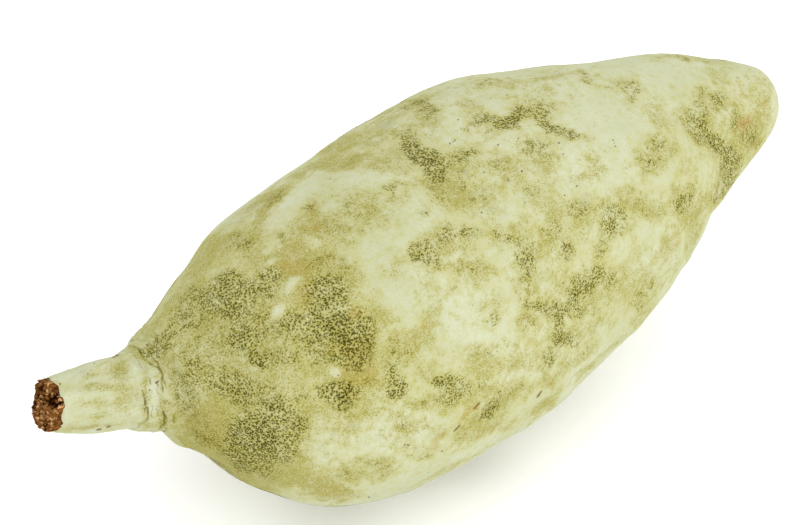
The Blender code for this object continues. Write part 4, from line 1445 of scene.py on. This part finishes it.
@dataclass(frozen=True)
class WornFelt:
    """The node group of worn velvety felt, which the pod and the stalk share."""

    name: str = "worn_felt"
    pit_grit: float = 0.7
    pit_growth: float = -0.28
    pit_edge: tuple[float, float] = (0.25, 0.12)
    halo_edge: tuple[float, float] = (0.58, 0.14)
    strand_edge: tuple[float, float] = (0.4, 0.7)
    worn_roughness: float = 0.14

    def build(self) -> bpy.types.NodeTree:
        """Build the group: marks and colours in; colour, roughness and height in mm out."""
        tree = bpy.data.node_groups.new(self.name, "ShaderNodeTree")
        face = tree.interface
        for name in ("Place", "Drift"):
            face.new_socket(name=name, in_out="INPUT", socket_type="NodeSocketVector")
        for name in (*BREAKUPS, "Pitted", "Grain", "Pit Pitch"):
            face.new_socket(name=name, in_out="INPUT", socket_type="NodeSocketFloat")
        for name in colour_inputs().values():
            face.new_socket(name=name, in_out="INPUT", socket_type="NodeSocketColor")
        face.new_socket(name="Color", in_out="OUTPUT", socket_type="NodeSocketColor")
        for name in ("Roughness", "Height"):
            face.new_socket(name=name, in_out="OUTPUT", socket_type="NodeSocketFloat")
        graph = Graph(tree)
        given = graph.node("NodeGroupInput").outputs
        masks = self.masks(graph, given)
        inputs = {
            "Color": self.colour(graph, given, masks),
            "Roughness": self.roughness(graph, masks),
            "Height": self.height(graph, given, masks),
        }
        graph.node("NodeGroupOutput", inputs)
        return tree

    def masks(self, graph: Graph, given: bpy.types.NodeOutputs) -> Masks:
        """Break the painted marks up with noise into masks from 0 to 1."""
        place = given["Place"]
        ragged = graph.centred(graph.noise(given["Drift"], 0.2, 5.0, 0.62))
        cluster = graph.centred(graph.noise(given["Drift"], 0.5, 4.0, 0.62))
        fine = graph.centred(graph.noise(place, 1.25, 4.0, 0.6))
        masks = {
            "broad": graph.rise(graph.noise(place, 0.045, 4.0, 0.55), 0.36, 0.66),
            "cloud": graph.rise(cluster, -0.02, 0.2),
            "fine": fine,
        }
        for name, broken in BREAKUPS.items():
            noises = ((ragged, broken.ragged), (cluster, broken.cluster), (fine, broken.fine))
            value = graph.add(given[name], *noises)
            masks[name.lower()] = graph.rise(value, broken.low, broken.high)
        density = graph.add(given["Pitted"], (given["Worn"], 0.14), (ragged, 0.8), (cluster, 1.0))
        return masks | self.pits(graph, given, graph.rise(density, -0.1, 1.25))

    def pits(
        self, graph: Graph, given: bpy.types.NodeOutputs, density: bpy.types.NodeSocket
    ) -> Masks:
        """Return the masks of the pits, of their olive rims and of the strands between them.

        The pits are the middles of Voronoi cells, which grit makes uneven and density makes wider
        and deeper. A few stray ones stand in whole felt.

        Args:
            graph: the group's graph.
            given: the group's inputs.
            density: how closely pitted the skin is, from 0 to 1.

        Returns:
            The masks by name.
        """
        place = given["Place"]
        scaled = graph.scaled(place, given["Pit Pitch"])
        inputs = {"Vector": scaled, "Scale": 1.0, "Randomness": 1.0}
        cells = graph.node("ShaderNodeTexVoronoi", inputs, feature="F1").outputs["Distance"]
        grit = graph.centred(graph.noise(place, 3.6, 2.0))
        apart = graph.add(cells, (grit, self.pit_grit), (density, self.pit_growth))
        present = graph.rise(density, 0.0, 0.65)
        stray = graph.rise(graph.noise(place, 0.75, 1.0), 0.76, 0.8, 0.5)
        deep = graph.math("MULTIPLY_ADD", density, 0.7, 0.2)
        pit = graph.times(graph.times(graph.rise(apart, *self.pit_edge), present), deep)
        return {
            "halo": graph.times(graph.rise(apart, *self.halo_edge), present),
            "strand": graph.times(graph.rise(apart, *self.strand_edge), present),
            "pit": graph.math("MAXIMUM", pit, stray),
        }

    def colour(
        self, graph: Graph, given: bpy.types.NodeOutputs, masks: Masks
    ) -> bpy.types.NodeSocket:
        """Lay the felt's colours over each other, from fresh felt to pits, cracks and nicks."""
        paints = {name: given[socket] for name, socket in colour_inputs().items()}
        flecks = graph.rise(masks["fine"], -0.12, 0.12, 0.7)
        paints["rusty"] = graph.mix(flecks, paints["rust"], paints["straw"])
        tuft = graph.centred(graph.noise(given["Place"], 2.6, 2.0, 0.6))
        speck = graph.rise(graph.add(tuft, (masks["worn"], 0.16)), 0.06, 0.16)
        laid = masks | {
            "speck": graph.times(speck, graph.rise(masks["worn"], 0.0, 0.4)),
            "tuft_shade": graph.rise(tuft, 0.04, -0.16, 0.17),
        }
        colour = paints["fresh"]
        for layer in FELT_LAYERS:
            mask = graph.times(laid[layer.mask], layer.share)
            colour = graph.mix(mask, colour, paints[layer.colour])
        return colour

    def roughness(self, graph: Graph, masks: Masks) -> bpy.types.NodeSocket:
        """Return the roughness: matt felt, with worn skin and old scuffs a little smoother."""
        worn = graph.times(masks["worn"], 0.08)
        scuffed = graph.times(masks["scuff"], 0.12)
        return graph.math("SUBTRACT", 0.95, graph.math("MAXIMUM", worn, scuffed))

    def height(
        self, graph: Graph, given: bpy.types.NodeOutputs, masks: Masks
    ) -> bpy.types.NodeSocket:
        """Return the height: tufts of felt, rougher where worn, and the marks sunk in it."""
        pile = graph.noise(given["Place"], 1.7, 5.0, 0.68)
        height = graph.times(pile, given["Grain"])
        rough = graph.times(masks["worn"], self.worn_roughness)
        height = graph.math("MULTIPLY_ADD", masks["fine"], rough, height)
        return graph.add(height, *((masks[name], lift) for name, lift in FELT_HEIGHTS.items()))


def new_material(name: str) -> tuple[bpy.types.Material, Graph]:
    """Make an empty material, and the graph that fills it."""
    material = bpy.data.materials.new(name)
    material.use_nodes = True
    material.node_tree.nodes.clear()
    return material, Graph(material.node_tree)


@dataclass(frozen=True)
class FeltFinish:
    """A felt finish: its colours, its pile and how far apart its pits are."""

    name: str
    slot: str
    colours: FeltColours = FeltColours()
    grain: float = 0.13
    pit_pitch: float = 1.75
    stretch: tuple[float, float, float] = (1.0, 1.0, 1.0)
    specular: float = 0.04
    sheen: float = 0.015
    sheen_roughness: float = 0.5
    sheen_tint: tuple[float, float, float] = (232, 232, 205)

    def dress(self, piece: bpy.types.Object, felt: bpy.types.NodeTree) -> None:
        """Give a piece this finish.

        Args:
            piece: the piece, with the marks as vertex values.
            felt: the shared felt group.
        """
        material, graph = new_material(self.name)
        place = graph.millimetres()
        stretched = {0: place, 1: self.stretch}
        drift = graph.node("ShaderNodeVectorMath", stretched, operation="MULTIPLY")
        inputs: dict[str, Any] = {
            "Place": place,
            "Drift": drift.outputs[0],
            "Grain": self.grain,
            "Pit Pitch": self.pit_pitch,
        }
        for wear in (Wear.WORN, Wear.PITTED, Wear.RUST, Wear.SCUFF, Wear.BLUSH):
            inputs[wear.value.capitalize()] = graph.attribute(wear.value)
        inputs["Stain"] = graph.attribute("stain")
        inputs["Crease"] = graph.attribute("crease")
        inputs["Crack"] = self.crack_gap(graph)
        inputs["Nick"] = self.nick_gap(graph)
        for name, socket in colour_inputs().items():
            inputs[socket] = linear(getattr(self.colours, name))
        skin = graph.node("ShaderNodeGroup", inputs, node_tree=felt).outputs
        shader = graph.node(
            "ShaderNodeBsdfPrincipled",
            {
                "Base Color": skin["Color"],
                "Roughness": skin["Roughness"],
                "Normal": graph.bump(skin["Height"]),
                "Specular IOR Level": self.specular,
                "Sheen Weight": self.sheen,
                "Sheen Roughness": self.sheen_roughness,
                "Sheen Tint": linear(self.sheen_tint),
            },
        )
        graph.node("ShaderNodeOutputMaterial", {"Surface": shader.outputs[0]})
        piece.data.materials.append(material)

    def crack_gap(self, graph: Graph) -> bpy.types.NodeSocket:
        """Return the distance to the nearest crack, from its signed side and its reach."""
        side = graph.math("ABSOLUTE", graph.attribute("crack_side"))
        return graph.math("ADD", side, graph.attribute("crack_past"))

    def nick_gap(self, graph: Graph) -> bpy.types.NodeSocket:
        """Return the distance to the nearest nick, from its two signed steps."""
        across, down = graph.attribute("nick_x"), graph.attribute("nick_y")
        squared = graph.math("ADD", graph.times(across, across), graph.times(down, down))
        return graph.math("SQRT", squared)


@dataclass(frozen=True)
class TornWood:
    """The torn end's finish: brown crumbs, pale on top, with nearly black hollows.

    The pale tops are a painted highlight and the black hollows painted shade, both set by the
    face's height; each crumb's own tone varies as well.
    """

    name: str = "torn_wood"
    slot: str = "stalk_felt"
    hollow: tuple[float, float, float] = (30, 6, 0)
    brown: tuple[float, float, float] = (142, 90, 38)
    pale: tuple[float, float, float] = (236, 186, 126)
    grit_height: float = 0.25

    def dress(self, piece: bpy.types.Object) -> None:
        """Give the torn end its finish.

        Args:
            piece: the torn end, with the height and the crumbs' tones as vertex values.
        """
        material, graph = new_material(self.name)
        place = graph.millimetres()
        speck = graph.centred(graph.noise(place, 1.2, 5.0, 0.75))
        # Painted shade: the lower the face lies, the nearer its colour comes to the nearly black
        # hollow colour
        level = graph.add(graph.attribute("depth"), (speck, 4.4))
        colour = graph.mix(graph.rise(level, -0.15, 0.85), linear(self.hollow), linear(self.brown))
        # Painted highlight: crumbs that stand high turn pale, more or less by each crumb's own tone
        light = graph.add(graph.attribute("tone"), (speck, 1.6))
        light = graph.times(graph.rise(light, 0.45, 1.0), graph.rise(level, 0.2, 1.1))
        colour = graph.mix(light, colour, linear(self.pale))
        grit = graph.times(graph.noise(place, 3.0, 4.0, 0.7), self.grit_height)
        shader = graph.node(
            "ShaderNodeBsdfPrincipled",
            {
                "Base Color": colour,
                "Roughness": 0.95,
                "Normal": graph.bump(grit),
                "Specular IOR Level": 0.05,
            },
        )
        graph.node("ShaderNodeOutputMaterial", {"Surface": shader.outputs[0]})
        piece.data.materials.append(material)


@dataclass(frozen=True)
class Studio:
    """A white floor under a white sky with one large soft lamp, in metres."""

    floor_half: float = 4.0
    floor_colour: tuple[float, float, float, float] = (0.962, 0.962, 0.975, 1.0)
    floor_glow: float = 0.11
    sky_strength: float = 1.18
    lamp_place: tuple[float, float, float] = (-0.8, -0.7, 2.0)
    lamp_size: float = 1.6
    lamp_power: float = 6.6
    fill_place: tuple[float, float, float] = (0.8, -1.8, 0.6)
    fill_size: float = 1.6
    fill_power: float = 13.0

    def build(self) -> None:
        """Build the floor, the sky and the lamps."""
        scene = bpy.context.scene
        scene.view_settings.view_transform = "Standard"
        world = bpy.data.worlds.new("sky")
        world.use_nodes = True
        background = world.node_tree.nodes["Background"]
        background.inputs["Color"].default_value = (1.0, 1.0, 1.0, 1.0)
        background.inputs["Strength"].default_value = self.sky_strength
        scene.world = world
        half = self.floor_half
        mesh = bpy.data.meshes.new("floor")
        corners = [(-half, -half, 0.0), (half, -half, 0.0), (half, half, 0.0), (-half, half, 0.0)]
        mesh.from_pydata(corners, [], [(0, 1, 2, 3)])
        floor = bpy.data.objects.new("floor", mesh)
        scene.collection.objects.link(floor)
        material = bpy.data.materials.new("white_floor")
        material.use_nodes = True
        shader = material.node_tree.nodes["Principled BSDF"]
        shader.inputs["Base Color"].default_value = self.floor_colour
        shader.inputs["Roughness"].default_value = 1.0
        shader.inputs["Specular IOR Level"].default_value = 0.0
        shader.inputs["Emission Color"].default_value = self.floor_colour
        shader.inputs["Emission Strength"].default_value = self.floor_glow
        mesh.materials.append(material)
        self.lamp("key_lamp", self.lamp_place, self.lamp_size, self.lamp_power)
        self.lamp("fill_lamp", self.fill_place, self.fill_size, self.fill_power)

    def lamp(self, name: str, place: tuple[float, float, float], size: float, power: float) -> None:
        """Hang a square soft lamp that points at the fruit.

        Args:
            name: the lamp's name.
            place: its middle, in metres.
            size: its side, in metres.
            power: its power in watts.
        """
        data = bpy.data.lights.new(name, "AREA")
        data.size = size
        data.energy = power
        lamp = bpy.data.objects.new(name, data)
        lamp.location = place
        lamp.rotation_euler = (-Vector(place)).to_track_quat("-Z", "Y").to_euler()
        bpy.context.scene.collection.objects.link(lamp)


@dataclass
class BaobabFruit:
    """The whole fruit: the pod's skin, the stalk's sleeve and the torn end."""

    camera: PhotoCamera = PhotoCamera()
    pod_felt: FeltFinish = FeltFinish("pod_felt", "pod_felt")
    stalk_felt: FeltFinish = FeltFinish(
        "stalk_felt", "stalk_felt", grain=0.22, pit_pitch=2.1, stretch=(0.4, 1.0, 1.0)
    )

    def build(self) -> Array:
        """Build and dress every piece.

        Returns:
            The fruit frame's place in the scene, in millimetres.
        """
        felt = WornFelt().build()
        form = PodForm()
        pod = PodSkin(form, WearPainter(self.camera, POD_BLOTS, POD_CRACKS, POD_NICKS))
        skin, whole = pod.build(self.beside_cad(form))
        self.pod_felt.dress(skin, felt)
        self.seat(skin, "pod")
        stalk_form = StalkForm()
        painter = WearPainter(
            self.camera,
            STALK_BLOTS,
            STALK_CRACKS,
            STALK_NICKS,
            far_worn=0.45,
            far_neck=0.0,
            far_spacing=9.0,
            warp_pixels=2.5,
        )
        sleeve = StalkSkin(stalk_form, form, painter, pod.painter).build(whole)
        self.stalk_felt.dress(sleeve, felt)
        self.seat(sleeve, "stalk")
        end = TornEnd(stalk_form, form.neck()).build(whole)
        TornWood().dress(end)
        self.seat(end, "stalk")
        return whole

    def beside_cad(self, form: PodForm) -> Array:
        """Return the shift along X and Y that lays the pod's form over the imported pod."""
        low, high = (np.array(corner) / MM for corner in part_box("pod"))
        points = form.points()
        middle = (points[:, 1].min() + points[:, 1].max()) / 2.0
        return np.array([low[0] - points[:, 0].min(), (low[1] + high[1]) / 2.0 - middle, 0.0])

    def seat(self, piece: bpy.types.Object, node: str) -> None:
        """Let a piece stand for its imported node, and report it."""
        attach(piece, "root")
        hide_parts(node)
        count = sum(len(face.vertices) - 2 for face in piece.data.polygons)
        LOG.info("%s: %d triangles, stands for %s", piece.name, count, node)


def main() -> None:
    """Build the fruit, the studio and the camera."""
    logging.basicConfig(level=logging.INFO, format="%(message)s")
    fruit = BaobabFruit()
    whole = fruit.build()
    Studio().build()
    fruit.camera.place(whole)


if __name__ == "__main__":
    main()
